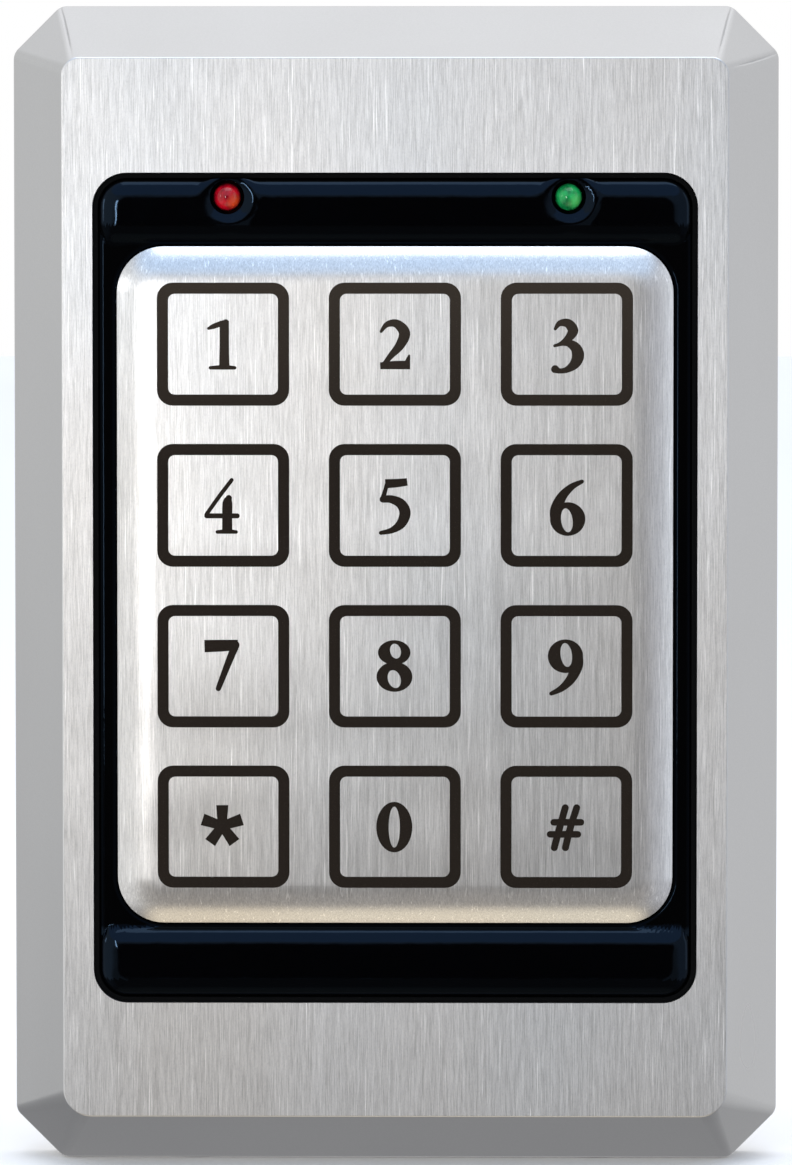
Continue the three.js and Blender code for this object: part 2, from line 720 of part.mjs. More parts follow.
function makeBackPlate() {
  const outline = new THREE.Shape(housingOutline(plateOffset));
  const inside = new THREE.Shape(housingOutline(plateOffset + PLATE.flange));
  const pan = cut(
    extrude(outline, 0, PLATE.flangeFront),
    extrude(inside, PLATE.sheet, PLATE.flangeFront + PAST),
  );
  const edge = HOUSING.height / 2 - plateOffset;
  const hook = box(HOOK.width, 2 * HOOK.reach, HOOK.rear, PLATE.flangeFront);
  const hooks = [-1, 1].map((side) => hook.translate([side * HOOK.x, edge, 0]));

  const cable = throughPlate(roundedRect(PLATE.cableWidth, PLATE.cableHeight, PLATE.cableRadius));
  const slot = throughPlate(roundedRect(PLATE.slotWidth, PLATE.slotHeight, PLATE.slotRadius));
  const slots = [-1, 1].map((side) => slot.translate([0, side * PLATE.boxScrewY, 0]));
  const wallHole = rod(PLATE.wallHoleRadius, -PAST, PLATE.sheet + PAST);
  const grommetHole = rod(PLATE.grommetRadius, -PAST, PLATE.sheet + PAST);
  const nutHole = rod(CLINCH_NUT.shankRadius + GAP, -PAST, PLATE.flange + PAST).rotate([-90, 0, 0]);
  const nutHoles = [-1, 1].map((side) =>
    nutHole.translate([side * HOUSING_SCREW.x, -edge, HOUSING_SCREW.z]),
  );
  const plate = cut(
    union(pan, ...hooks),
    cable.translate([0, PLATE.cableY, 0]),
    ...slots,
    ...atCorners(wallHole, PLATE.wallHoleX, PLATE.wallHoleY),
    grommetHole.translate([TAMPER.x, TAMPER.y, 0]),
    ...nutHoles,
  );
  add("back_plate", "zinc", plate);
}

function makePerimeterSeal() {
  const { gap, rear, front } = PERIMETER_SEAL;
  const outer = new THREE.Shape(housingOutline(HOUSING.wall + gap));
  const inner = new THREE.Shape(housingOutline(plateOffset - GAP));
  add("perimeter_seal", "rubber", frameOf(outer, inner, rear, front));
}

// ---------------------------------------------------------------- fasteners

function makeHousingScrews() {
  const edge = HOUSING.height / 2;
  const { headRadius, shankRadius, length, socketRadius, socketDepth, x, z } = HOUSING_SCREW;
  const screw = turned([
    [0, 0],
    [headRadius, 0],
    [shankRadius, headRadius - shankRadius],
    [shankRadius, length],
    [0, length],
  ]).subtract(rod(socketRadius, -PAST, socketDepth, 6));
  const nut = cut(
    union(
      rod(CLINCH_NUT.shankRadius, 0, CLINCH_NUT.shankLength, SCREW_SIDES),
      rod(CLINCH_NUT.headRadius, PLATE.flange + GAP, CLINCH_NUT.length, SCREW_SIDES),
    ),
    rod(shankRadius + THREAD_GAP, -PAST, CLINCH_NUT.length + PAST, SCREW_SIDES),
  );
  for (const side of [-1, 1]) {
    const name = side < 0 ? "left" : "right";
    add(`housing_screw_${name}`, "screwSteel", screw.rotate([-90, 0, 0]), [side * x, -edge, z]);
    add(`clinch_nut_${name}`, "zinc", nut.rotate([-90, 0, 0]), [side * x, -edge + plateOffset, z]);
  }
}

function makeStudNuts() {
  const { acrossFlats, rear } = STUD_NUT;
  const thread = rod(STUD.radius + THREAD_GAP, rear - PAST, FRAME.flangeRear + PAST, SCREW_SIDES);
  const nut = hexagon(acrossFlats, rear, FRAME.flangeRear - GAP).subtract(thread);
  for (const [corner, x, y] of corners(STUD.x, STUD.y)) add(`module_nut_${corner}`, "zinc", nut, [x, y, 0]);
}

// The cross-shaped slot in a screw's head, cut in from a height above the wall.
function crossSlot(z) {
  const { length, width, depth } = CROSS_SLOT;
  return union(box(length, width, z - PAST, z + depth), box(width, length, z - PAST, z + depth));
}

function makeBoardScrews() {
  const { headRadius, topRadius, headHeight, rimHeight, shankRadius, end } = BOARD_SCREW;
  const screw = turned(
    [
      [0, onBoard - headHeight],
      [topRadius, onBoard - headHeight],
      [headRadius, onBoard - rimHeight],
      [headRadius, onBoard],
      [shankRadius, onBoard],
      [shankRadius, end],
      [0, end],
    ],
    SCREW_SIDES,
  ).subtract(crossSlot(onBoard - headHeight));
  for (const [corner, x, y] of corners(BOARD_SCREW.x, BOARD_SCREW.y)) {
    add(`board_screw_${corner}`, "screwSteel", screw, [x, y, 0]);
  }
}

function makeCoverScrews() {
  const { headRadius, shankRadius, end } = COVER_SCREW;
  const head = COVER.rear + 2 * GAP;
  const screw = turned(
    [
      [0, head],
      [headRadius, head],
      [shankRadius, head + headRadius - shankRadius],
      [shankRadius, end],
      [0, end],
    ],
    SCREW_SIDES,
  ).subtract(crossSlot(head));
  for (const [corner, x, y] of corners(COVER_SCREW.x, COVER_SCREW.y)) {
    add(`cover_screw_${corner}`, "screwSteel", screw, [x, y, 0]);
  }
}

// ---------------------------------------------------------------- tamper switch

const tamperSpot = [TAMPER.x, TAMPER.y, 0];

function makeTamperSwitch() {
  const { size, standoff, buttonRadius } = SWITCH;
  const button = rod(buttonRadius, PLUNGER.top + GAP, onBoard - standoff + OVERLAP, HOLE_SIDES);
  add("tamper_switch", "blackMatte", union(block([size, size, standoff]), button), tamperSpot);
}

function makeTamperPlunger() {
  const { rodRadius, collarRadius, chamfer } = TAMPER;
  const plunger = turned([
    [0, 0],
    [rodRadius - chamfer, 0],
    [rodRadius, chamfer],
    [rodRadius, PLUNGER.collarRear],
    [collarRadius, PLUNGER.collarRear],
    [collarRadius, PLUNGER.collarFront],
    [rodRadius, PLUNGER.collarFront],
    [rodRadius, PLUNGER.top],
    [0, PLUNGER.top],
  ]);
  add("tamper_plunger", "blackMatte", plunger, tamperSpot);
}

function makePlungerGrommet() {
  const { neckRadius, radius, front, rodGap } = GROMMET;
  const body = turned([
    [0, GAP],
    [neckRadius, GAP],
    [neckRadius, PLATE.sheet + GAP],
    [radius, PLATE.sheet + GAP],
    [radius, front],
    [0, front],
  ]);
  const bore = rod(TAMPER.rodRadius + rodGap, -PAST, front + PAST);
  add("plunger_grommet", "rubber", body.subtract(bore), tamperSpot);
}

// A compression spring between the plunger's collar and the board, round the switch.
function makeTamperSpring() {
  const { wireRadius, coilRadius, turns, steps, wireSides } = SPRING;
  const z0 = PLUNGER.collarFront + wireRadius + GAP;
  const z1 = onBoard - wireRadius - GAP;
  class Helix extends THREE.Curve {
    getPoint(t, target = new THREE.Vector3()) {
      const angle = t * turns * 2 * Math.PI;
      return target.set(coilRadius * Math.cos(angle), coilRadius * Math.sin(angle), z0 + (z1 - z0) * t);
    }
  }
  const section = new THREE.Shape().absarc(0, 0, wireRadius, 0, 2 * Math.PI);
  const coil = new THREE.ExtrudeGeometry(section, {
    steps,
    curveSegments: wireSides,
    bevelEnabled: false,
    extrudePath: new Helix(),
  });
  add("tamper_spring", "spring", solid(coil), tamperSpot);
}

makeHousing();
makeFrame();
makeWindowGasket();
makeKeyPlate();
makeKeySensors();
makeSensorBoard();
makeLamp("lamp_red", "redLens", -1);
makeLamp("lamp_green", "greenLens", 1);
makeControlBoard();
makeBoardParts();
makeWiringHeader();
makeBackCover();
makeBackPlate();
makePerimeterSeal();
makeHousingScrews();
makeStudNuts();
makeBoardScrews();
makeCoverScrews();
makeTamperSwitch();
makeTamperPlunger();
makePlungerGrommet();
makeTamperSpring();

export default reader;
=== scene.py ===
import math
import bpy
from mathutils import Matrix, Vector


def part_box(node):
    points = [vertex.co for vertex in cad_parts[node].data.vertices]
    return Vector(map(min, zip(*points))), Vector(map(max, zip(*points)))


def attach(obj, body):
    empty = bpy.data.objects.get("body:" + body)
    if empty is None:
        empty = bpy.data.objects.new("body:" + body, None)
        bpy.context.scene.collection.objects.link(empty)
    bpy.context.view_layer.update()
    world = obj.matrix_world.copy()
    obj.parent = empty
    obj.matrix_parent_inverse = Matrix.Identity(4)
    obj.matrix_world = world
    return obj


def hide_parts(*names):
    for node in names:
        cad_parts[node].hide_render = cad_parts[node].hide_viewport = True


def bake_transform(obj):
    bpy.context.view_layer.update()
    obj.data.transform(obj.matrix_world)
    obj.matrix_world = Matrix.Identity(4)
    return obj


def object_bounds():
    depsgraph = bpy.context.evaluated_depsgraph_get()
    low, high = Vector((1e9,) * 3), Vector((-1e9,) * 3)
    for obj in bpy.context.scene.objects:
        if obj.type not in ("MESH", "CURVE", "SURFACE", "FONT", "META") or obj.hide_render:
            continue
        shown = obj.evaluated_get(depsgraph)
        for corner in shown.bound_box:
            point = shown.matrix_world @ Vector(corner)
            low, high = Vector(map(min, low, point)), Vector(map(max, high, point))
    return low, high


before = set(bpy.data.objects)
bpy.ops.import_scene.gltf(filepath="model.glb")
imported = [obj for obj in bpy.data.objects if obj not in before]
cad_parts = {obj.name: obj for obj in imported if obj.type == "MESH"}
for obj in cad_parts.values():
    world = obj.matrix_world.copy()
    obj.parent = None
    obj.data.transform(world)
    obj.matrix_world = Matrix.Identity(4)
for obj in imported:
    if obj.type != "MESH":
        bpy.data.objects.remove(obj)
cad_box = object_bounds()

# A surface-mounted keypad access reader. Shapes are drawn in the panel frame, in millimetres:
# x to the right, y up the wall and d out of the wall, so a panel point is (x, -d, y) in the row frame.

from types import SimpleNamespace

import bmesh
import bpy
from mathutils import Vector

MM = 0.001
PAST = 1  # how far a cutting shape runs past what it cuts
CORNERS = ("top_left", "top_right", "bottom_left", "bottom_right")
scene = bpy.context.scene


def extent(node):
    """Where a CAD node lies in the panel frame, in millimetres."""
    low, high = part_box(node)
    x0, x1, y0, y1, d0, d1 = (v / MM for v in (low.x, high.x, low.z, high.z, -high.y, -low.y))
    return SimpleNamespace(
        x0=x0, x1=x1, y0=y0, y1=y1, d0=d0, d1=d1,
        cx=(x0 + x1) / 2, cy=(y0 + y1) / 2, width=x1 - x0, height=y1 - y0,
    )


# ---------------------------------------------------------------- camera

OUTLINE_DEPTH = 6.5  # where the housing is widest
CAMERA_AZIMUTH = 0.6
CAMERA_ELEVATION = 3
CAMERA_DISTANCE = 0.7
AIM_HEIGHT = 0.15  # of the camera above the middle of the reader
SENSOR = 36
FRAME_FILL = 0.9893  # share of the frame's height that the reader takes


def make_camera():
    data = bpy.data.cameras.new("camera")
    camera = bpy.data.objects.new("camera", data)
    scene.collection.objects.link(camera)
    azimuth, elevation = math.radians(CAMERA_AZIMUTH), math.radians(CAMERA_ELEVATION)
    towards = Vector((
        math.sin(azimuth) * math.cos(elevation),
        -math.cos(azimuth) * math.cos(elevation),
        math.sin(elevation),
    ))
    target = Vector((0, -OUTLINE_DEPTH * MM, AIM_HEIGHT * MM))
    camera.location = target + CAMERA_DISTANCE * towards
    camera.rotation_euler = (-towards).to_track_quat("-Z", "Y").to_euler()
    data.sensor_width = SENSOR
    data.lens = SENSOR * FRAME_FILL * CAMERA_DISTANCE / (extent("housing").height * MM)
    scene.camera = camera


# ---------------------------------------------------------------- shape tools

def rounded_rect(width, height, radius, steps=8, centre=(0, 0)):
    """Points round a rectangle with round corners, anticlockwise."""
    points = []
    for quarter, (sx, sy) in enumerate(((1, 1), (-1, 1), (-1, -1), (1, -1))):
        cx, cy = sx * (width / 2 - radius), sy * (height / 2 - radius)
        for step in range(steps + 1):
            angle = math.pi / 2 * (quarter + step / steps)
            x = centre[0] + cx + radius * math.cos(angle)
            y = centre[1] + cy + radius * math.sin(angle)
            points.append((x, y))
    return points


def build(name, points, faces):
    """A mesh object from panel points, its faces turned outwards."""
    mesh = bpy.data.meshes.new(name)
    mesh.from_pydata([(x * MM, -d * MM, y * MM) for x, y, d in points], [], faces)
    shape = bmesh.new()
    shape.from_mesh(mesh)
    bmesh.ops.recalc_face_normals(shape, faces=shape.faces)
    shape.to_mesh(mesh)
    shape.free()
    made = bpy.data.objects.new(name, mesh)
    scene.collection.objects.link(made)
    return made


def loft(name, levels):
    """A closed skin through outlines with the same number of points, each at its own depth."""
    count = len(levels[0][0])
    points = [(x, y, d) for outline, d in levels for x, y in outline]
    faces = [tuple(reversed(range(count)))]
    for level in range(len(levels) - 1):
        for i in range(count):
            a, b = level * count + i, level * count + (i + 1) % count
            faces.append((a, b, b + count, a + count))
    last = (len(levels) - 1) * count
    faces.append(tuple(range(last, last + count)))
    return build(name, points, faces)


def prism(name, outline, d0, d1):
    return loft(name, [(outline, d0), (outline, d1)])


def turned(name, profile, centre=(0, 0), sides=64):
    """A solid of revolution along d, from (radius, d) points that start and end on the axis."""
    inner = profile[1:-1]
    points = [(centre[0], centre[1], profile[0][1])]
    for radius, d in inner:
        for side in range(sides):
            angle = 2 * math.pi * side / sides
            points.append((centre[0] + radius * math.cos(angle), centre[1] + radius * math.sin(angle), d))
    points.append((centre[0], centre[1], profile[-1][1]))
    faces = []
    for side in range(sides):
        after = (side + 1) % sides
        faces.append((0, 1 + after, 1 + side))
        for row in range(len(inner) - 1):
            a = 1 + row * sides
            faces.append((a + side, a + after, a + sides + after, a + sides + side))
        top = 1 + (len(inner) - 1) * sides
        faces.append((len(points) - 1, top + side, top + after))
    return build(name, points, faces)


def rod(name, radius, d0, d1, centre=(0, 0), sides=64):
    return turned(name, [(0, d0), (radius, d0), (radius, d1), (0, d1)], centre, sides)


def apply_modifiers(piece):
    depsgraph = bpy.context.evaluated_depsgraph_get()
    mesh = bpy.data.meshes.new_from_object(piece.evaluated_get(depsgraph))
    piece.modifiers.clear()
    piece.data = mesh
    return piece


def boolean(target, tool, operation="DIFFERENCE"):
    modifier = target.modifiers.new("boolean", "BOOLEAN")
    modifier.operation = operation
    modifier.solver = "EXACT"
    modifier.object = tool
    apply_modifiers(target)
    bpy.data.objects.remove(tool)
    return target


def join(name, pieces):
    """One object from several meshes that don't touch."""
    shape = bmesh.new()
    for piece in pieces:
        shape.from_mesh(piece.data)
        bpy.data.objects.remove(piece)
    mesh = bpy.data.meshes.new(name)
    shape.to_mesh(mesh)
    shape.free()
    made = bpy.data.objects.new(name, mesh)
    scene.collection.objects.link(made)
    return made


def round_edges(piece, width, segments, angle):
    bevel = piece.modifiers.new("bevel", "BEVEL")
    bevel.width = width * MM
    bevel.segments = segments
    bevel.limit_method = "ANGLE"
    bevel.angle_limit = math.radians(angle)
    bevel.use_clamp_overlap = True
    return apply_modifiers(piece)


def soften(piece, width=0.0, segments=2, angle=35, flats=True):
    """Rounds the sharp edges, and evens out the shading where a piece has flat faces."""
    if width:
        round_edges(piece, width, segments, angle)
    piece.data.polygons.foreach_set("use_smooth", [True] * len(piece.data.polygons))
    piece.data.set_sharp_from_angle(angle=math.radians(angle))
    if not flats:
        return piece
    weighted = piece.modifiers.new("weighted", "WEIGHTED_NORMAL")
    weighted.keep_sharp = True
    weighted.weight = 100
    return apply_modifiers(piece)


def place(piece, look, nodes=(), body="reader"):
    """Gives a finished piece its material and its body, and hides the nodes that it stands for."""
    if look is not None:
        piece.data.materials.clear()
        piece.data.materials.append(look)
    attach(piece, body)
    if nodes:
        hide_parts(*nodes)
    return piece


# ---------------------------------------------------------------- materials

class Look:
    """A node material put together round one Principled shader."""

    def __init__(self, name, color, roughness=0.5, metallic=0.0, **sockets):
        self.material = bpy.data.materials.new(name)
        self.material.use_nodes = True
        self.tree = self.material.node_tree
        self.shader = self.tree.nodes["Principled BSDF"]
        self.shader.inputs["Base Color"].default_value = (*color, 1)
        self.shader.inputs["Roughness"].default_value = roughness
        self.shader.inputs["Metallic"].default_value = metallic
        for socket, value in sockets.items():
            self.shader.inputs[socket.replace("_", " ")].default_value = value

    def node(self, kind, **settings):
        made = self.tree.nodes.new(kind)
        for setting, value in settings.items():
            setattr(made, setting, value)
        return made

    def link(self, source, target):
        self.tree.links.new(source, target)

    def spot(self):
        """Where the shaded point lies in its object's own frame."""
        return self.node("ShaderNodeTexCoord").outputs["Object"]

    def noise(self, per_mm, detail=2.0, roughness=0.5, offset=(0, 0, 0)):
        """Noise with its own number of cells per millimetre along x, d and y."""
        mapping = self.node("ShaderNodeMapping")
        mapping.inputs["Scale"].default_value = [cells / MM for cells in per_mm]
        mapping.inputs["Location"].default_value = offset
        texture = self.node("ShaderNodeTexNoise")
        texture.inputs["Scale"].default_value = 1
        texture.inputs["Detail"].default_value = detail
        texture.inputs["Roughness"].default_value = roughness
        self.link(self.spot(), mapping.inputs["Vector"])
        self.link(mapping.outputs["Vector"], texture.inputs["Vector"])
        return texture.outputs["Fac"]

    def height(self):
        """How far up the panel a point lies, in millimetres."""
        split = self.node("ShaderNodeSeparateXYZ")
        self.link(self.spot(), split.inputs["Vector"])
        scaled = self.node("ShaderNodeMath", operation="MULTIPLY")
        scaled.inputs[1].default_value = 1 / MM
        self.link(split.outputs["Z"], scaled.inputs[0])
        return scaled.outputs["Value"]

    def ball(self, centre, radius):
        """1 at a panel point (x, d, y), falling to 0 at a distance from it."""
        x, d, y = centre
        mapping = self.node("ShaderNodeMapping")
        mapping.inputs["Scale"].default_value = [1 / (radius * MM)] * 3
        mapping.inputs["Location"].default_value = (-x / radius, d / radius, -y / radius)
        gradient = self.node("ShaderNodeTexGradient", gradient_type="SPHERICAL")
        self.link(self.spot(), mapping.inputs["Vector"])
        self.link(mapping.outputs["Vector"], gradient.inputs["Vector"])
        return gradient.outputs["Fac"]

    def ramp(self, source, *stops):
        """Colours along a value: each stop is (position, colour)."""
        node = self.node("ShaderNodeValToRGB")
        elements = node.color_ramp.elements
        while len(elements) < len(stops):
            elements.new(0.5)
        for element, (position, color) in zip(elements, stops):
            element.position = position
            element.color = (*color, 1)
        self.link(source, node.inputs["Fac"])
        return node.outputs["Color"]

    def spread(self, source, low, high, start=0.3, end=0.7):
        """Carries a value from one range to another."""
        node = self.node("ShaderNodeMapRange")
        node.inputs["From Min"].default_value = start
        node.inputs["From Max"].default_value = end
        node.inputs["To Min"].default_value = low
        node.inputs["To Max"].default_value = high
        self.link(source, node.inputs["Value"])
        return node.outputs["Result"]

    def mix(self, first, second, factor, blend="MIX"):
        node = self.node("ShaderNodeMix", data_type="RGBA", blend_type=blend)
        for value, socket in ((first, node.inputs[6]), (second, node.inputs[7])):
            if isinstance(value, tuple):
                socket.default_value = (*value, 1)
            else:
                self.link(value, socket)
        if isinstance(factor, float):
            node.inputs[0].default_value = factor
        else:
            self.link(factor, node.inputs[0])
        return node.outputs[2]

    def color(self, source):
        self.link(source, self.shader.inputs["Base Color"])
        return self

    def rough(self, source):
        self.link(source, self.shader.inputs["Roughness"])
        return self

    def bump(self, height, depth, strength=1.0, onto=None):
        """Bump of a depth in millimetres, on top of an earlier one if there is one."""
        node = self.node("ShaderNodeBump")
        node.inputs["Strength"].default_value = strength
        node.inputs["Distance"].default_value = depth * MM
        self.link(height, node.inputs["Height"])
        if onto is not None:
            self.link(onto, node.inputs["Normal"])
        self.link(node.outputs["Normal"], self.shader.inputs["Normal"])
        return node.outputs["Normal"]

    def brushed_across(self, amount):
        """Highlights spread sideways, as on metal that is brushed upright."""
        self.shader.inputs["Anisotropic"].default_value = amount
        tangent = self.node("ShaderNodeTangent", direction_type="RADIAL", axis="Z")
        self.link(tangent.outputs["Tangent"], self.shader.inputs["Tangent"])
        return self


def grey(value):
    return (value, value, value)


def brushed_steel(name, light, dark, roughness, wave_depth):
    """Steel brushed upright: fine grain, faint wider bands, grit and a few long bright scratches."""
    look = Look(name, light, roughness, 1.0)
    fine = look.noise((13, 13, 0.35), detail=3, roughness=0.8, offset=(0.3, 0.4, 0.2))
    coarse = look.noise((3, 3, 0.06), detail=3, roughness=0.6, offset=(5.3, 1.4, 3.2))
    scratch = look.noise((5, 5, 0.09), detail=2, roughness=0.7, offset=(8.1, 2.2, 4.4))
    grain = look.noise((8, 8, 4), detail=2, roughness=0.75, offset=(1.2, 6.1, 0.7))
    cloud = look.noise((0.035, 0.035, 0.02), detail=1, offset=(2, 7, 1))
    tint = look.ramp(cloud, (0.3, (0.98, 0.965, 0.945)), (0.5, grey(1)), (0.7, (0.95, 0.975, 1)))
    streak = look.ramp(fine, (0.34, dark), (0.5, light), (0.66, grey(min(1, light[0] * 1.2))))
    bands = look.ramp(coarse, (0.3, grey(0.95)), (0.6, grey(1)))
    specks = look.ramp(grain, (0.3, (0.88, 0.87, 0.88)), (0.5, grey(0.97)), (0.7, (1, 0.985, 0.96)))
    tone = look.mix(look.mix(streak, bands, 1.0, "MULTIPLY"), specks, 1.0, "MULTIPLY")
    shine = look.ramp(scratch, (0.63, grey(0)), (0.69, grey(0.24)))
    tone = look.mix(look.mix(tone, tint, 1.0, "MULTIPLY"), shine, 1.0, "ADD")
    look.color(tone)
    look.rough(look.spread(coarse, roughness - 0.02, roughness + 0.02))
    grooves = look.bump(fine, 0.003, 0.5)
    waves = look.noise((0.02, 0.02, 0.09), detail=1, offset=(0, 3, 9))
    look.bump(waves, wave_depth, 1.0, onto=grooves)
    return look.brushed_across(0.6).material


def satin_steel(name, color, roughness):
    look = Look(name, color, roughness, 1.0)
    grain = look.noise((6, 6, 6), detail=3, roughness=0.7)
    drift = look.noise((0.05, 0.05, 0.03), detail=2)
    tone = look.ramp(drift, (0.1, tuple(0.9 * c for c in color)), (0.9, color))
    look.color(look.mix(tone, look.ramp(grain, (0.3, grey(0.93)), (0.7, grey(1))), 1.0, "MULTIPLY"))
    look.rough(look.spread(drift, roughness - 0.05, roughness + 0.06, 0.1, 0.9))
    look.bump(grain, 0.002, 0.5)
    return look.material


def gloss_plastic(name, color, gloss):
    # The blue specular tint is a painted reflection: it tints every reflection blue, as a blue sky would.
    look = Look(name, color, 0.06, 0.0, Specular_IOR_Level=gloss, Specular_Tint=(0.36, 0.62, 1.0, 1.0))
    ripple = look.noise((0.16, 0.16, 0.12), detail=1.5, offset=(1, 4, 2))
    dust = look.noise((11, 11, 11), detail=3, roughness=0.8)
    film = look.noise((0.4, 0.4, 0.4), detail=3, offset=(3, 3, 3))
    look.color(look.ramp(dust, (0.68, color), (0.8, tuple(c + 0.004 for c in color))))
    look.rough(look.spread(film, 0.035, 0.1))
    speck = look.bump(dust, 0.004, 0.25)
    swell = look.bump(ripple, 0.09, 0.6, onto=speck)
    look.bump(look.noise((0.9, 0.9, 0.9), detail=2, offset=(7, 2, 5)), 0.02, 0.6, onto=swell)
    return look.material


def moulded(name, color, roughness, grain_per_mm=4.0, depth=0.02):
    look = Look(name, color, roughness)
    grain = look.noise((grain_per_mm,) * 3, detail=3)
    drift = look.noise((0.15, 0.15, 0.15), detail=3, offset=(4, 4, 4))
    paler = tuple(1.3 * c for c in color)
    look.color(look.ramp(drift, (0.35, color), (0.7, paler)))
    look.rough(look.spread(grain, roughness - 0.08, min(1.0, roughness + 0.1)))
    look.bump(grain, depth, 0.6)
    return look.material


def dusty_rubber(name):
    """Matte black rubber with a few pale specks of dust."""
    look = Look(name, grey(0.002), 0.7, Specular_IOR_Level=0.03)
    dust = look.noise((5, 5, 5), detail=4, roughness=0.85)
    black, dull, pale = grey(0.002), (0.03, 0.026, 0.022), (0.2, 0.17, 0.14)
    look.color(look.ramp(dust, (0.62, black), (0.68, dull), (0.76, pale)))
    look.rough(look.spread(dust, 0.6, 0.85))
    look.bump(dust, 0.03, 0.6)
    return look.material


def plated(name, color, roughness, spangle_per_mm=0.35):
    """Zinc, brass or bare metal, with a faint spangle and fine scuffs."""
    look = Look(name, color, roughness, 1.0)
    cells = look.node("ShaderNodeTexVoronoi", feature="F1")
    cells.inputs["Scale"].default_value = spangle_per_mm / MM
    look.link(look.spot(), cells.inputs["Vector"])
    tone = look.node("ShaderNodeSeparateColor")
    look.link(cells.outputs["Color"], tone.inputs["Color"])
    scuff = look.noise((2.5, 2.5, 2.5), detail=4, roughness=0.7)
    spangle = look.ramp(tone.outputs[0], (0.0, tuple(0.86 * c for c in color)), (1.0, color))
    look.color(look.mix(spangle, look.ramp(scuff, (0.3, grey(0.9)), (0.6, grey(1))), 1.0, "MULTIPLY"))
    look.rough(look.spread(scuff, roughness - 0.07, roughness + 0.1))
    look.bump(scuff, 0.006, 0.5)
    return look.material


def legend_fill(name):
    """Dark brown filling with a little grit. Its colour is lighter towards the top, a painted sheen, as in
    the photograph.
    """
    look = Look(name, (0.02, 0.013, 0.008), 0.55, 0.0, Specular_IOR_Level=0.06)
    speckle = look.noise((9, 9, 9), detail=4, roughness=0.8)
    # Painted sheen: the base colour lightens from 12 mm to 30 mm up the panel, as a reflection from above
    # would.
    painted_sheen = look.spread(look.height(), 0, 1, 12, 30)
    base = look.mix((0.012, 0.008, 0.005), (0.026, 0.019, 0.013), painted_sheen)
    grit = look.ramp(speckle, (0.6, grey(0)), (0.72, (0.05, 0.04, 0.032)))
    look.color(look.mix(base, grit, 1.0, "ADD"))
    look.rough(look.spread(speckle, 0.45, 0.7))
    look.bump(speckle, 0.01, 0.7)
    return look.material


def lamp_lens(name, colour, deep, bright, spot, glow):
    """Tinted, diffusing lamp plastic with a warmer spot in its lower right where its light comes through."""
    look = Look(
        name, bright, 0.1, 0.0, Specular_IOR_Level=0.3,
        Subsurface_Weight=0.1, Subsurface_Scale=0.3 * MM, Emission_Strength=glow,
    )
    lamp = extent(f"lamp_{colour}")
    near = look.noise((0.9, 0.9, 0.9), detail=2)
    tone = look.ramp(near, (0.35, deep), (0.62, bright))
    warm = look.ball((lamp.cx + 0.6, lamp.d1 - 0.6, lamp.cy - 0.4), 0.9)
    lit = look.mix(tone, spot, warm)
    look.color(lit)
    look.link(lit, look.shader.inputs["Emission Color"])
    grain = look.noise((6, 6, 6), detail=2)
    look.rough(look.spread(grain, 0.06, 0.14))
    look.bump(grain, 0.004, 0.4)
    return look.material


def laminate(name):
    """Solder-masked board: green, with a brick pattern that stands for copper tracks."""
    look = Look(name, (0.012, 0.11, 0.045), 0.32, 0.0, Coat_Weight=0.3, Coat_Roughness=0.15)
    tracks = look.node("ShaderNodeTexBrick", offset=0.35, squash=1.6, squash_frequency=3)
    tracks.inputs["Scale"].default_value = 0.32 / MM
    tracks.inputs["Mortar Size"].default_value = 0.06
    tracks.inputs["Brick Width"].default_value = 1.7
    tracks.inputs["Row Height"].default_value = 0.55
    turn = look.node("ShaderNodeMapping")
    turn.inputs["Rotation"].default_value = (math.pi / 2, 0, 0)
    look.link(look.spot(), turn.inputs["Vector"])
    look.link(turn.outputs["Vector"], tracks.inputs["Vector"])
    weave = look.noise((3, 3, 3), detail=2)
    mask = look.ramp(weave, (0.3, (0.010, 0.095, 0.038)), (0.7, (0.014, 0.125, 0.05)))
    look.color(look.mix(mask, (0.03, 0.2, 0.07), tracks.outputs["Fac"]))
    look.bump(tracks.outputs["Fac"], 0.03, 0.5)
    return look.material


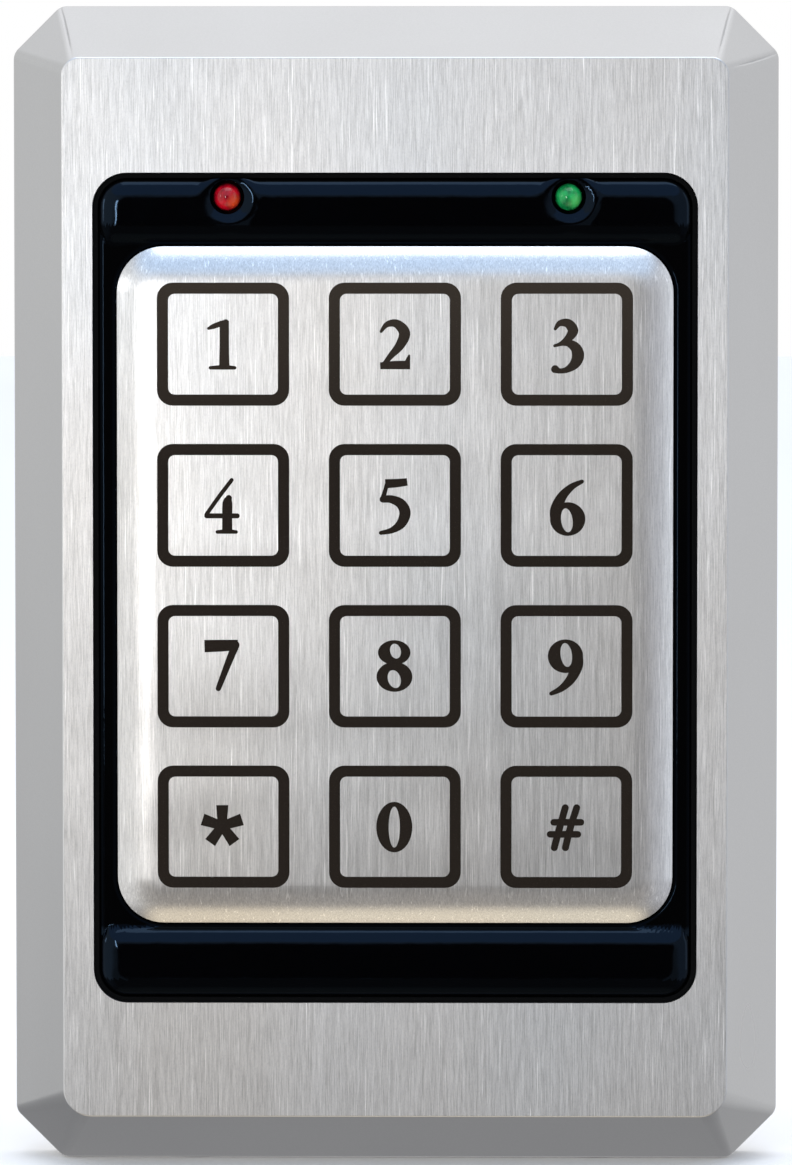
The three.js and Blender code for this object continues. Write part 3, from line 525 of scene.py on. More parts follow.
LOOKS = {
    "housing_front": brushed_steel("housing_brushed", grey(0.62), grey(0.46), 0.43, 0.05),
    "housing_satin": satin_steel("housing_satin", (0.58, 0.585, 0.59), 0.3),
    "key_plate": brushed_steel("key_plate_brushed", grey(0.625), grey(0.485), 0.32, 0.16),
    "legend": legend_fill("legend_fill"),
    "gloss_black": gloss_plastic("gloss_black", (0.0006, 0.0006, 0.0008), 0.2),
    # A copy of gloss_black that hardly reflects: painted shade for the rails and the dark ends of the bars'
    # rolls.
    "rail_painted_shade": gloss_plastic("rail_painted_shade", (0.0008, 0.0008, 0.0009), 0.04),
    "matte_black": moulded("matte_black", (0.012, 0.012, 0.013), 0.55),
    "rubber": dusty_rubber("rubber_black"),
    "red_lens": lamp_lens(
        "red_lens", "red", (0.12, 0.001, 0.006), (0.36, 0.003, 0.01), (0.5, 0.06, 0.008), 0.12,
    ),
    "green_lens": lamp_lens(
        "green_lens", "green", (0.003, 0.1, 0.025), (0.008, 0.25, 0.06), (0.07, 0.42, 0.09), 0.1,
    ),
    # Darker copies of the lens plastic without glow: painted shade for the part of the lens down in its bore.
    "red_base": moulded("red_lens_base", (0.03, 0.001, 0.002), 0.3, 3.0, 0.01),
    "green_base": moulded("green_lens_base", (0.001, 0.02, 0.006), 0.3, 3.0, 0.01),
    "zinc": plated("zinc_steel", (0.52, 0.54, 0.56), 0.36),
    "screw": plated("screw_steel", (0.42, 0.42, 0.42), 0.3, 1.2),
    "brass": plated("sensor_brass", (0.66, 0.46, 0.16), 0.28, 1.0),
    "ceramic": moulded("disc_ceramic", (0.62, 0.58, 0.5), 0.5, 5.0, 0.01),
    "laminate": laminate("laminate_green"),
    "spacer": moulded("spacer_sheet", (0.52, 0.42, 0.25), 0.6, 3.0, 0.02),
    "component": moulded("component_black", (0.016, 0.016, 0.017), 0.5, 6.0, 0.015),
    "relay": moulded("relay_case", (0.02, 0.045, 0.09), 0.35, 4.0, 0.01),
    "can": plated("can_metal", (0.6, 0.6, 0.61), 0.24, 0.8),
    "gold": plated("contact_gold", (0.78, 0.53, 0.2), 0.25, 1.5),
    "spring": plated("spring_steel", (0.5, 0.5, 0.5), 0.25, 1.0),
}

# ---------------------------------------------------------------- housing

BEVEL_INSET = 5.3
WALL = 1.5
CORNER_LEG = 4.7
SKIRT_BEND = 1.2
FRONT_BEND = 0.18
WINDOW = SimpleNamespace(width=59.6, height=82, radius=3.4)
CREASE_DEPTH = 0.2
CREASE_STEPS = 1.8  # half of a crease's width, in steps of a rounded vertex
WEAK_CREASE = 0.3  # share of the depth that the left bevel's upper crease has
VERTEX_STEPS = 12
BEND_STEPS = 6
REAR_EDGE = 0.15
FACET_SHARE = 0.48  # most of a facet that the rounding at one of its ends may take
TOP_NARROWING = 0.55  # how much shorter a top corner's leg is at the front than at the skirt
INNER_RADIUS = 0.6
ON_FRONT = 0.02  # how far from the front a face may be and still be brushed
STUD = SimpleNamespace(radius=1.5, past_nut=0.5, chamfer=0.3, root_radius=2.1, root=0.5)
RAIL = SimpleNamespace(width=40, reach=1.8, radius=0.3, root=0.5, rear=3.2, front=4.4)
SCREW_HOLE = SimpleNamespace(head=2.35, shank=1.45, depth=3)


def housing_outline(offset, top_radius, bottom_radius, crease=0.0, narrowing=0.0):
    """Eight-sided outline with rounded vertices. A crease presses a fold line into the top corners."""
    body = extent("housing")
    x, y = body.width / 2 - offset, body.height / 2 - offset
    bottom_leg = CORNER_LEG - offset * (2 - math.sqrt(2))
    top_leg = bottom_leg - narrowing
    vertices = (
        (x, y - top_leg, top_radius, crease), (x - top_leg, y, top_radius, crease),
        (-x + top_leg, y, top_radius, crease), (-x, y - top_leg, top_radius, WEAK_CREASE * crease),
        (-x, -y + bottom_leg, bottom_radius, 0), (-x + bottom_leg, -y, bottom_radius, 0),
        (x - bottom_leg, -y, bottom_radius, 0), (x, -y + bottom_leg, bottom_radius, 0),
    )
    turn = math.pi / 4
    points = []
    for index, (vx, vy, radius, depth) in enumerate(vertices):
        facet = math.sqrt(2) * (top_leg if index < 4 else bottom_leg)
        radius = min(radius, FACET_SHARE * facet / math.tan(turn / 2))
        heading = math.pi / 2 + index * turn
        tangent = radius * math.tan(turn / 2)
        start = (vx - tangent * math.cos(heading), vy - tangent * math.sin(heading))
        centre = (start[0] - radius * math.sin(heading), start[1] + radius * math.cos(heading))
        for step in range(VERTEX_STEPS + 1):
            angle = heading - math.pi / 2 + turn * step / VERTEX_STEPS
            from_middle = abs(step - VERTEX_STEPS / 2)
            reach = radius - depth * max(0, 1 - from_middle / CREASE_STEPS)
            points.append((centre[0] + reach * math.cos(angle), centre[1] + reach * math.sin(angle)))
    return points


def housing_sections():
    """(depth, offset, place on the bevel from 0 to 1) of the outer skin, with its two bends as arcs."""
    body = extent("housing")
    slope = math.atan(BEVEL_INSET / (body.d1 - OUTLINE_DEPTH))
    sections = [(body.d0, REAR_EDGE, 0), (body.d0 + REAR_EDGE, 0, 0)]
    back = SKIRT_BEND * math.tan(slope / 2)
    for step in range(BEND_STEPS + 1):
        angle = slope * step / BEND_STEPS
        d = OUTLINE_DEPTH - back + SKIRT_BEND * math.sin(angle)
        sections.append((d, SKIRT_BEND * (1 - math.cos(angle)), 0.1 * step / BEND_STEPS))
    for share in (0.25, 0.5, 0.75):
        d = OUTLINE_DEPTH + share * (body.d1 - OUTLINE_DEPTH)
        sections.append((d, share * BEVEL_INSET, share))
    bend = math.pi / 2 - slope
    reach = FRONT_BEND * math.tan(bend / 2)
    for step in range(BEND_STEPS + 1):
        angle = slope + bend * step / BEND_STEPS
        d = body.d1 - FRONT_BEND * (1 - math.sin(angle))
        offset = BEVEL_INSET + reach - FRONT_BEND * math.cos(angle)
        sections.append((d, offset, 1))
    return sections


def housing_shell():
    levels = []
    for d, offset, share in housing_sections():
        crease = CREASE_DEPTH * math.sin(math.pi * min(1, share * 1.1)) if 0 < share < 1 else 0
        top_radius = 1.5 + 0.2 * share
        bottom_radius = 1.4 + 1.25 * share
        levels.append((housing_outline(offset, top_radius, bottom_radius, crease, TOP_NARROWING * share), d))
    return loft("housing", levels)


def housing_hollow(body):
    slope = BEVEL_INSET / (body.d1 - OUTLINE_DEPTH)
    bend = OUTLINE_DEPTH - WALL * math.tan(math.atan(slope) / 2)
    front = body.d1 - WALL
    outer = housing_outline(WALL, INNER_RADIUS, INNER_RADIUS)
    inner = housing_outline(WALL + (front - bend) * slope, INNER_RADIUS, INNER_RADIUS)
    return loft("hollow", [(outer, body.d0 - PAST), (outer, bend), (inner, front)])


def stud(nut, inner_front):
    end, root = nut.d0 - STUD.past_nut, inner_front + STUD.chamfer
    profile = [(0, end), (STUD.radius - STUD.chamfer, end), (STUD.radius, end + STUD.chamfer)]
    profile += [(STUD.radius, inner_front - STUD.root), (STUD.root_radius, root), (0, root)]
    return turned("stud", profile, (nut.cx, nut.cy), 32)


def countersunk_hole(head, shank, depth):
    profile = [(0, -PAST), (head, -PAST), (head, 0), (shank, head - shank), (shank, depth), (0, depth)]
    return turned("hole", profile)


def make_housing():
    body = extent("housing")
    shell = housing_shell()
    boolean(shell, housing_hollow(body))
    window = rounded_rect(WINDOW.width, WINDOW.height, WINDOW.radius, 12)
    boolean(shell, prism("window", window, OUTLINE_DEPTH, body.d1 + PAST))
    for corner in CORNERS:
        boolean(shell, stud(extent(f"module_nut_{corner}"), body.d1 - WALL), "UNION")
    rail_middle = body.y1 - WALL + RAIL.root - RAIL.reach / 2
    rail = rounded_rect(RAIL.width, RAIL.reach, RAIL.radius, 3, (0, rail_middle))
    boolean(shell, prism("rail", rail, RAIL.rear, RAIL.front), "UNION")
    for side in ("left", "right"):
        screw = extent(f"housing_screw_{side}")
        hole = countersunk_hole(SCREW_HOLE.head, SCREW_HOLE.shank, SCREW_HOLE.depth)
        boolean(shell, stand_up(hole, screw.cx, body.y0, (screw.d0 + screw.d1) / 2))
    soften(shell, angle=22)
    shell.data.materials.append(LOOKS["housing_satin"])
    shell.data.materials.append(LOOKS["housing_front"])
    for face in shell.data.polygons:
        near_front = -face.center.y / MM > body.d1 - ON_FRONT
        face.material_index = int(near_front and face.normal.y < -0.98)
    place(shell, None, ["housing"])


def stand_up(piece, x, y, d):
    """Turns a piece made along d so that it runs up the panel, and sets its start at a panel point."""
    for vertex in piece.data.vertices:
        px, pd, py = vertex.co.x, -vertex.co.y, vertex.co.z
        vertex.co = (px + x * MM, py - d * MM, pd + y * MM)
    return piece


# ---------------------------------------------------------------- key plate and its legends

KEYS = ("1", "2", "3", "4", "5", "6", "7", "8", "9", "star", "0", "hash")
KEY_OUTLINE = SimpleNamespace(width=13.0, height=12.1, radius=1.55, band=1.1, inner_radius=0.65)
ENGRAVING = 0.06
FILL_BELOW = 0.02
EDGE_DROP = 1.15
EDGE_REACH = 4.1
EDGE_SHAPE = 2.5  # how late the roll turns down
EDGE_ROUND = 0.3
PLATE_SHEET = 0.8
PLATE_RADIUS = 4.6
PLATE_INNER_RADIUS = 0.4  # the least that the rolled edge leaves of it
EDGE_STEPS = 18
ABOVE_FACE = 0.5

# Each character is drawn from pen strokes and ellipses, in millimetres from the key's centre.
# A stroke is a smooth curve through (x, y, stroke width); "strokes" end round and "bars" end square.
# An ellipse is (x, y, half width, half height, tilt in degrees); "holes" are cut out last.
GLYPHS = {
    "1": {
        "bars": [[(0.13, 2.3, 0.93), (0.13, 0, 0.93), (0.13, -2.4, 1.02)]],
        "strokes": [
            [(-1.42, 1.55, 0.3), (-0.8, 1.8, 0.52), (0.3, 2.2, 0.5)],
            [(-1.25, -2.32, 0.34), (-0.3, -2.28, 0.44), (0.4, -2.28, 0.44), (1.15, -2.32, 0.34)],
        ],
    },
    "2": {
        "strokes": [
            [(-1.35, 1.25, 0.3), (-0.75, 1.95, 0.58), (0.2, 2.0, 0.85), (0.95, 1.1, 1.12),
             (0.5, -0.1, 0.92), (-0.45, -1.2, 0.6), (-1.25, -2.2, 0.4)],
            [(1.15, -2.0, 0.6), (1.3, -1.5, 0.42), (1.4, -1.1, 0.2)],
        ],
        "bars": [[(-1.45, -2.12, 0.68), (0, -2.05, 0.82), (1.5, -2.05, 0.84)]],
    },
    "3": {
        "strokes": [
            [(-1.15, 1.5, 0.3), (-0.7, 2.05, 0.6), (0.1, 2.05, 0.9), (0.6, 1.35, 1.05),
             (0.15, 0.6, 0.75), (-0.6, 0.05, 0.42), (-1.2, -0.15, 0.3)],
            [(-0.75, 0.0, 0.34), (0.1, 0.12, 0.7), (0.85, -0.35, 1.05), (1.1, -1.15, 1.2),
             (0.75, -1.95, 1.0), (0.0, -2.5, 0.62), (-0.7, -2.62, 0.52), (-1.15, -2.45, 0.8)],
        ],
    },
    "4": {
        "strokes": [
            [(0.84, 2.5, 0.4), (-0.45, 0.8, 0.42), (-1.66, -0.9, 0.4)],
            [(-1.62, -1.03, 0.5), (0, -1.03, 0.5), (1.38, -1.03, 0.5)],
            [(0.55, 0.72, 0.62), (0.42, 0.2, 0.98), (0.4, -1.2, 1.0), (0.4, -2.3, 1.0)],
            [(-0.58, -2.62, 0.36), (0.1, -2.58, 0.44), (0.7, -2.58, 0.44), (1.27, -2.62, 0.36)],
        ],
        "bars": [[(0.4, -2.0, 1.0), (0.4, -2.3, 1.0), (0.4, -2.65, 1.08)]],
    },
    "5": {
        "strokes": [
            [(-0.78, 2.1, 0.4), (-1.0, 1.3, 0.44), (-1.25, 0.55, 0.5)],
            [(-1.15, 0.62, 0.7), (-0.3, 0.6, 0.8), (0.6, 0.15, 1.0), (1.0, -0.75, 1.12),
             (0.6, -1.8, 0.95), (-0.3, -2.45, 0.6), (-1.38, -2.7, 0.4)],
        ],
        "bars": [[(-0.95, 2.14, 0.9), (0.2, 2.2, 0.84), (1.22, 2.32, 0.74)]],
    },
    "6": {
        "strokes": [
            [(1.5, 2.36, 0.4), (0.5, 1.85, 0.66), (-0.45, 0.9, 0.95), (-1.02, -0.4, 1.2),
             (-1.05, -1.5, 1.1)],
        ],
        "ellipses": [(0.1, -1.33, 1.74, 1.66, 0)],
        "holes": [(0.02, -1.45, 0.56, 1.18, 8)],
    },
    "7": {
        "bars": [[(-1.86, 1.98, 1.22), (0, 2.03, 1.15), (1.45, 2.12, 0.98)]],
        "strokes": [[(1.2, 2.1, 0.8), (0.4, 0.1, 0.68), (-0.5, -2.2, 0.54)]],
    },
    "8": {
        "ellipses": [(-0.06, 1.36, 1.6, 1.22, 0), (-0.04, -1.04, 1.77, 1.48, 0)],
        "holes": [(0.06, 1.5, 0.52, 0.74, 14), (-0.06, -1.26, 0.62, 0.9, 18)],
    },
    "0": {
        "ellipses": [(-0.06, -0.03, 1.78, 2.5, 0)],
        "holes": [(-0.06, -0.03, 0.55, 2.02, 0)],
    },
    "star": {
        "arms": [(-0.13, 0.08, 5)],
    },
    "hash": {
        "strokes": [
            [(1.02, 1.9, 0.7), (0.4, -0.1, 0.7), (-0.08, -2.05, 0.7)],
            [(-0.1, 1.9, 0.7), (-0.66, -0.1, 0.7), (-1.18, -2.05, 0.7)],
            [(-1.24, 0.46, 0.66), (0, 0.46, 0.68), (1.45, 0.46, 0.66)],
            [(-1.6, -0.73, 0.66), (0, -0.73, 0.68), (1.15, -0.73, 0.66)],
        ],
    },
}
NINE_DROP = -0.32  # the nine is the six turned over, and sits this much lower
CURVE_STEPS = 7  # samples between two points of a stroke
ARM_START = -0.3
ARM_LENGTH = 2.05
ARM_TIP = 0.6
ARM_ROOT = 0.42


def smooth_curve(points):
    """Catmull-Rom samples through points of any dimension."""
    ends = [points[0], *points, points[-1]]
    samples = []
    for i in range(1, len(ends) - 2):
        before, start, end, after = ends[i - 1:i + 3]
        for step in range(CURVE_STEPS):
            t = step / CURVE_STEPS
            samples.append(tuple(
                0.5 * (2 * p1 + (p2 - p0) * t + (2 * p0 - 5 * p1 + 4 * p2 - p3) * t * t
                       + (3 * p1 - p0 - 3 * p2 + p3) * t ** 3)
                for p0, p1, p2, p3 in zip(before, start, end, after)
            ))
    samples.append(tuple(points[-1]))
    return samples


def stroke_outline(points, round_ends):
    """The outline that a pen of changing width leaves."""
    samples = smooth_curve(points)
    left, right = [], []
    headings = []
    for i, (x, y, width) in enumerate(samples):
        before, after = samples[max(i - 1, 0)], samples[min(i + 1, len(samples) - 1)]
        heading = math.atan2(after[1] - before[1], after[0] - before[0])
        headings.append(heading)
        nx, ny = -math.sin(heading) * width / 2, math.cos(heading) * width / 2
        left.append((x + nx, y + ny))
        right.append((x - nx, y - ny))

    def cap(sample, heading):
        x, y, width = sample
        angles = (heading + math.pi / 2 - math.pi * step / 8 for step in range(1, 8))
        return [(x + width / 2 * math.cos(a), y + width / 2 * math.sin(a)) for a in angles]

    end_cap = cap(samples[-1], headings[-1]) if round_ends else []
    start_cap = cap(samples[0], headings[0] + math.pi) if round_ends else []
    return left + end_cap + right[::-1] + start_cap


def ellipse_outline(cx, cy, half_width, half_height, tilt, sides=48):
    turn = math.radians(tilt)
    points = []
    for side in range(sides):
        angle = 2 * math.pi * side / sides
        x, y = half_width * math.cos(angle), half_height * math.sin(angle)
        turned_x = x * math.cos(turn) - y * math.sin(turn)
        turned_y = x * math.sin(turn) + y * math.cos(turn)
        points.append((cx + turned_x, cy + turned_y))
    return points


def arm_outlines(cx, cy, count):
    """Arms that widen outwards, the first one pointing up."""
    outlines = []
    for arm in range(count):
        heading = math.pi / 2 + 2 * math.pi * arm / count
        along = (math.cos(heading), math.sin(heading))
        half = ((ARM_START, ARM_ROOT), (ARM_LENGTH, ARM_TIP))
        corners = (*half, *((u, -v) for u, v in reversed(half)))
        outlines.append([
            (cx + u * along[0] - v * along[1], cy + u * along[1] + v * along[0]) for u, v in corners
        ])
    return outlines


def glyph_outlines(name):
    """(outlines to add, outlines to take away) of one character."""
    if name == "9":
        solids, holes = glyph_outlines("6")
        over = [[(-x, -y + NINE_DROP) for x, y in outline] for outline in solids]
        return over, [[(-x, -y + NINE_DROP) for x, y in outline] for outline in holes]
    glyph = GLYPHS[name]
    solids = [stroke_outline(points, True) for points in glyph.get("strokes", ())]
    solids += [stroke_outline(points, False) for points in glyph.get("bars", ())]
    solids += [ellipse_outline(*ellipse) for ellipse in glyph.get("ellipses", ())]
    for arms in glyph.get("arms", ()):
        solids += arm_outlines(*arms)
    return solids, [ellipse_outline(*hole) for hole in glyph.get("holes", ())]


def key_mark(name, centre, d0, d1):
    """One key's outline band and its character, as prisms between two depths."""
    band = KEY_OUTLINE
    outer = prism("band", rounded_rect(band.width, band.height, band.radius, 8, centre), d0, d1)
    inner = rounded_rect(
        band.width - 2 * band.band, band.height - 2 * band.band, band.inner_radius, 6, centre,
    )
    boolean(outer, prism("inner", inner, d0 - PAST, d1 + PAST))

    def moved(outline):
        return [(x + centre[0], y + centre[1]) for x, y in outline]

    solids, holes = glyph_outlines(name)
    character = prism("character", moved(solids[0]), d0, d1)
    for outline in solids[1:]:
        boolean(character, prism("stroke", moved(outline), d0, d1), "UNION")
    for outline in holes:
        boolean(character, prism("hole", moved(outline), d0 - PAST, d1 + PAST))
    return join(f"key_mark_{name}", [outer, character])


def make_key_plate():
    plate = extent("key_plate")

    def pan(offset, face, drop, rear):
        def outline(inset):
            radius = max(PLATE_RADIUS - inset, PLATE_INNER_RADIUS)
            width, height = plate.width - 2 * inset, plate.height - 2 * inset
            return rounded_rect(width, height, radius, 12, (plate.cx, plate.cy))

        levels = [(outline(offset), rear)]
        for step in range(EDGE_STEPS + 1):
            share = 1 - math.cos(math.pi / 2 * step / EDGE_STEPS)
            fall = drop * (1 - share) ** EDGE_SHAPE
            levels.append((outline(offset + EDGE_REACH * share), face - fall))
        return levels

    pressed = loft("key_plate", pan(0, plate.d1, EDGE_DROP, plate.d0))
    inside = pan(PLATE_SHEET, plate.d1 - PLATE_SHEET, EDGE_DROP - PLATE_SHEET, plate.d0 - PAST)
    round_edges(pressed, EDGE_ROUND, 4, 40)
    boolean(pressed, loft("inside", inside))
    grooves = []
    for name in KEYS:
        disc = extent(f"piezo_disc_{name}")
        centre = (disc.cx, disc.cy)
        grooves.append(key_mark(name, centre, plate.d1 - ENGRAVING, plate.d1 + ABOVE_FACE))
        fill = key_mark(name, centre, plate.d1 - ENGRAVING, plate.d1 - FILL_BELOW)
        fill.name = f"key_mark_{name}_fill"
        place(soften(fill), LOOKS["legend"])
    boolean(pressed, join("grooves", grooves))
    place(soften(pressed, 0.03, 1), LOOKS["key_plate"], ["key_plate"])


# ---------------------------------------------------------------- module frame and its gasket

LAMP = SimpleNamespace(
    radius=1.32, bore=1.7, flange=1.6, flange_height=1, chamfer=0.1, off_board=0.05,
    clear=1.6,  # how far down the lens the lit plastic goes, in radii; below it a darker copy is painted shade
    lead=0.5, lead_radius=0.08, lead_pitch=1.27, lead_gap=0.01,
)
BAR_ROLL = 2.2  # how far the roll of a bar's edge reaches in
BAR_RISE = 1.0
BAR_RADIUS = 1.7
BAR_ABOVE = 0.4  # of the upper bar above the key plate
BAR_BELOW = 0.5
RAIL_ROLL = 0.6
RAIL_RISE = 0.2
DARK_SHARE = 0.8  # share of a roll that gets the rails' painted shade
POCKET_GAP = 0.15
LAND_RIM = 0.6
LAND_FOOT = 14.45
CORNER_STEPS = 18
CROSS_STEPS = 30
SIDE_STEPS = 130
BEYOND = SimpleNamespace(width=90, height=130, radius=2, depth=5)  # larger than the reader
DISH_RADIUS = 3.5
DISH_CURVE = 0.116  # per millimetre
DISH_SHIFT = 0.25  # of the dish to the right of its lamp and down
LIP_RADIUS = 2.3
LIP_WIDTH = 0.4
LIP_HEIGHT = 0.16


def inside_distance(x, y, width, height, radius):
    """How far a point lies inside a rounded rectangle; negative outside it."""
    qx, qy = abs(x) - width / 2 + radius, abs(y) - height / 2 + radius
    outside = math.hypot(max(qx, 0), max(qy, 0)) + min(max(qx, qy), 0)
    return radius - outside


def divide_sides(outline, count):
    """Adds points along the four long sides of a rounded rectangle, closer together near the corners."""
    arc = len(outline) // 4
    points = []
    for side in range(4):
        points += outline[side * arc:(side + 1) * arc]
        (x0, y0), (x1, y1) = points[-1], outline[(side + 1) * arc % len(outline)]
        for i in range(1, count):
            share = (1 - math.cos(math.pi * i / count)) / 2
            points.append((x0 + (x1 - x0) * share, y0 + (y1 - y0) * share))
    return points


def rolled(distance, reach, rise):
    """Height of a rounded edge that flattens out a distance in from it."""
    share = min(max(distance, 0) / reach, 1)
    return rise * math.sqrt(1 - (1 - share) ** 2)


def make_module_frame():
    """The glossy moulding: a raised bar above and below the key plate, and a low rail on each side of it."""
    front = extent("module_frame").d1
    plate = extent("key_plate")
    lamps = [extent("lamp_red"), extent("lamp_green")]
    land = (WINDOW.width - 2 * LAND_RIM, WINDOW.height - 2 * LAND_RIM, WINDOW.radius - LAND_RIM)
    pocket = (plate.width + 2 * POCKET_GAP, plate.height + 2 * POCKET_GAP, PLATE_RADIUS + POCKET_GAP)
    bars = ((plate.y1 + BAR_ABOVE, land[1] / 2), (-land[1] / 2, plate.y0 - BAR_BELOW))

    def crown(x, y):
        from_land = inside_distance(x, y, *land)
        from_pocket = -inside_distance(x - plate.cx, y - plate.cy, *pocket)
        rise = rolled(min(from_land, from_pocket), RAIL_ROLL, RAIL_RISE)
        for low, high in bars:
            inside = inside_distance(x, y - (low + high) / 2, land[0], high - low, BAR_RADIUS)
            rise = max(rise, rolled(min(inside, from_land), BAR_ROLL, BAR_RISE))
        for lamp in lamps:
            away = math.hypot(x - lamp.cx - DISH_SHIFT, y - lamp.cy + DISH_SHIFT)
            near = min(max((DISH_RADIUS - away) / (DISH_RADIUS - LIP_RADIUS), 0), 1)
            rise += (BAR_RISE - rise) * near * near * (3 - 2 * near)
            facing = max(0, (x - lamp.cx) - (y - lamp.cy)) / max(away, LIP_WIDTH)
            rise += LIP_HEIGHT * facing * math.exp(-((away - LIP_RADIUS) / LIP_WIDTH) ** 2)
            rise -= DISH_CURVE / 2 * max(0, DISH_RADIUS - away) ** 2
        return front - BAR_RISE + rise

    outer = divide_sides(rounded_rect(*land, CORNER_STEPS), SIDE_STEPS)
    inner = divide_sides(rounded_rect(*pocket, CORNER_STEPS, (plate.cx, plate.cy)), SIDE_STEPS)
    points = [(x, y, LAND_FOOT) for x, y in outer]
    for step in range(CROSS_STEPS + 1):
        share = (1 - math.cos(math.pi * step / CROSS_STEPS)) / 2
        for (x0, y0), (x1, y1) in zip(outer, inner):
            x, y = x0 + share * (x1 - x0), y0 + share * (y1 - y0)
            points.append((x, y, crown(x, y)))
    points += [(x, y, LAND_FOOT) for x, y in inner]
    count, rows = len(outer), CROSS_STEPS + 3
    faces = []
    for row in range(rows):
        after_row = (row + 1) % rows
        for i in range(count):
            j = (i + 1) % count
            faces.append((row * count + i, row * count + j, after_row * count + j, after_row * count + i))
    moulding = build("module_frame_moulding", points, faces)

    for lamp in lamps:
        boolean(moulding, rod("bore", LAMP.bore, LAND_FOOT - PAST, front + PAST, (lamp.cx, lamp.cy)))
    soften(moulding, 0.12, 3, 50, flats=False)
    moulding.data.materials.append(LOOKS["gloss_black"])
    moulding.data.materials.append(LOOKS["rail_painted_shade"])
    # Faces beside the plate and on the dark share of the bars' rolls get the weakly reflecting copy, as
    # painted shade.
    for face in moulding.data.polygons:
        x, y = face.center.x / MM, face.center.z / MM
        beside_plate = bars[1][1] < y < bars[0][0]
        above_plate = bars[0][0] <= y < bars[0][0] + DARK_SHARE * BAR_ROLL
        bottom_edge = y < bars[1][0] + DARK_SHARE * BAR_ROLL
        face.material_index = int(beside_plate or above_plate or bottom_edge)
    place(moulding, None, ["module_frame"])

    body = copy_of("module_frame", "module_frame_body")
    cutter = rounded_rect(BEYOND.width, BEYOND.height, BEYOND.radius, 2)
    boolean(body, prism("above", cutter, LAND_FOOT - 0.01, front + BEYOND.depth))
    place(soften(body), LOOKS["gloss_black"])


MERGE = 0.002  # vertices of a CAD node that are closer than this are one vertex


def copy_of(node, name):
    """A mesh like the CAD node's, with its split vertices merged and its flat faces whole."""
    shape = bmesh.new()
    shape.from_mesh(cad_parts[node].data)
    bmesh.ops.remove_doubles(shape, verts=shape.verts, dist=MERGE * MM)
    bmesh.ops.dissolve_limit(shape, angle_limit=math.radians(1), verts=shape.verts, edges=shape.edges)
    mesh = bpy.data.meshes.new(name)
    shape.to_mesh(mesh)
    shape.free()
    made = bpy.data.objects.new(name, mesh)
    scene.collection.objects.link(made)
    return made


GASKET = SimpleNamespace(gap=0.05, lip_width=0.55, flange=0.7, flange_radius=2)


def make_window_gasket():
    gasket = extent("window_gasket")

    def window(inset):
        return rounded_rect(WINDOW.width - 2 * inset, WINDOW.height - 2 * inset, WINDOW.radius - inset, 12)

    flange = rounded_rect(gasket.width, gasket.height, GASKET.flange_radius, 6)
    ring = prism("window_gasket", flange, gasket.d0, gasket.d0 + GASKET.flange)
    boolean(ring, prism("lip", window(GASKET.gap), gasket.d0, gasket.d1), "UNION")
    boolean(ring, prism("hole", window(GASKET.lip_width), gasket.d0 - PAST, gasket.d1 + PAST))
    place(soften(ring, 0.18, 3), LOOKS["rubber"], ["window_gasket"])


# ---------------------------------------------------------------- lamps

DOME_STEPS = 12


def make_lamp(colour):
    lamp = extent(f"lamp_{colour}")
    radius, base = LAMP.radius, extent("control_board").d1 + LAMP.off_board
    shoulder = base + LAMP.flange_height
    profile = [(0, base), (LAMP.flange, base), (LAMP.flange, shoulder), (radius, shoulder + LAMP.chamfer)]
    for step in range(DOME_STEPS):
        angle = math.pi / 2 * step / DOME_STEPS
        profile.append((radius * math.cos(angle), lamp.d1 - radius * (1 - math.sin(angle))))
    profile.append((0, lamp.d1))
    lens = turned(f"lamp_{colour}_lens", profile, (lamp.cx, lamp.cy))
    soften(lens, angle=50)
    lens.data.materials.append(LOOKS[f"{colour}_lens"])
    lens.data.materials.append(LOOKS[f"{colour}_base"])
    # Below the lit part the lens gets the darker copy of its plastic, as painted shade in the bore.
    for face in lens.data.polygons:
        face.material_index = int(-face.center.y / MM < lamp.d1 - LAMP.clear * radius)
    place(lens, None, [f"lamp_{colour}"])
    leads = []
    for side in (-1, 1):
        spot = (lamp.cx + side * LAMP.lead_pitch, lamp.cy)
        outline = rounded_rect(LAMP.lead, LAMP.lead, LAMP.lead_radius, 2, spot)
        leads.append(prism("lead", outline, lamp.d0, base - LAMP.lead_gap))
    place(soften(join(f"lamp_{colour}_leads", leads)), LOOKS["can"])


# ---------------------------------------------------------------- back plate and seal

BACK = SimpleNamespace(
    sheet=1.5, flange=1.2, bend=0.8, bend_steps=5, radius=1.0, inner_radius=0.6,
    window=(34, 26, 3), slot=(9, 4.8, 2.39), box_screw_y=41.65,
    wall_hole=2.3, wall_x=27, wall_y=47.5, grommet_hole=2.4,
    nut_hole=1.75, hook=(8, 2.2, 0.3), hook_x=14, hook_rear=5,
)
SEAL = SimpleNamespace(gap=0.1, inner_gap=0.05, outer_radius=0.8, inner_radius=0.9)


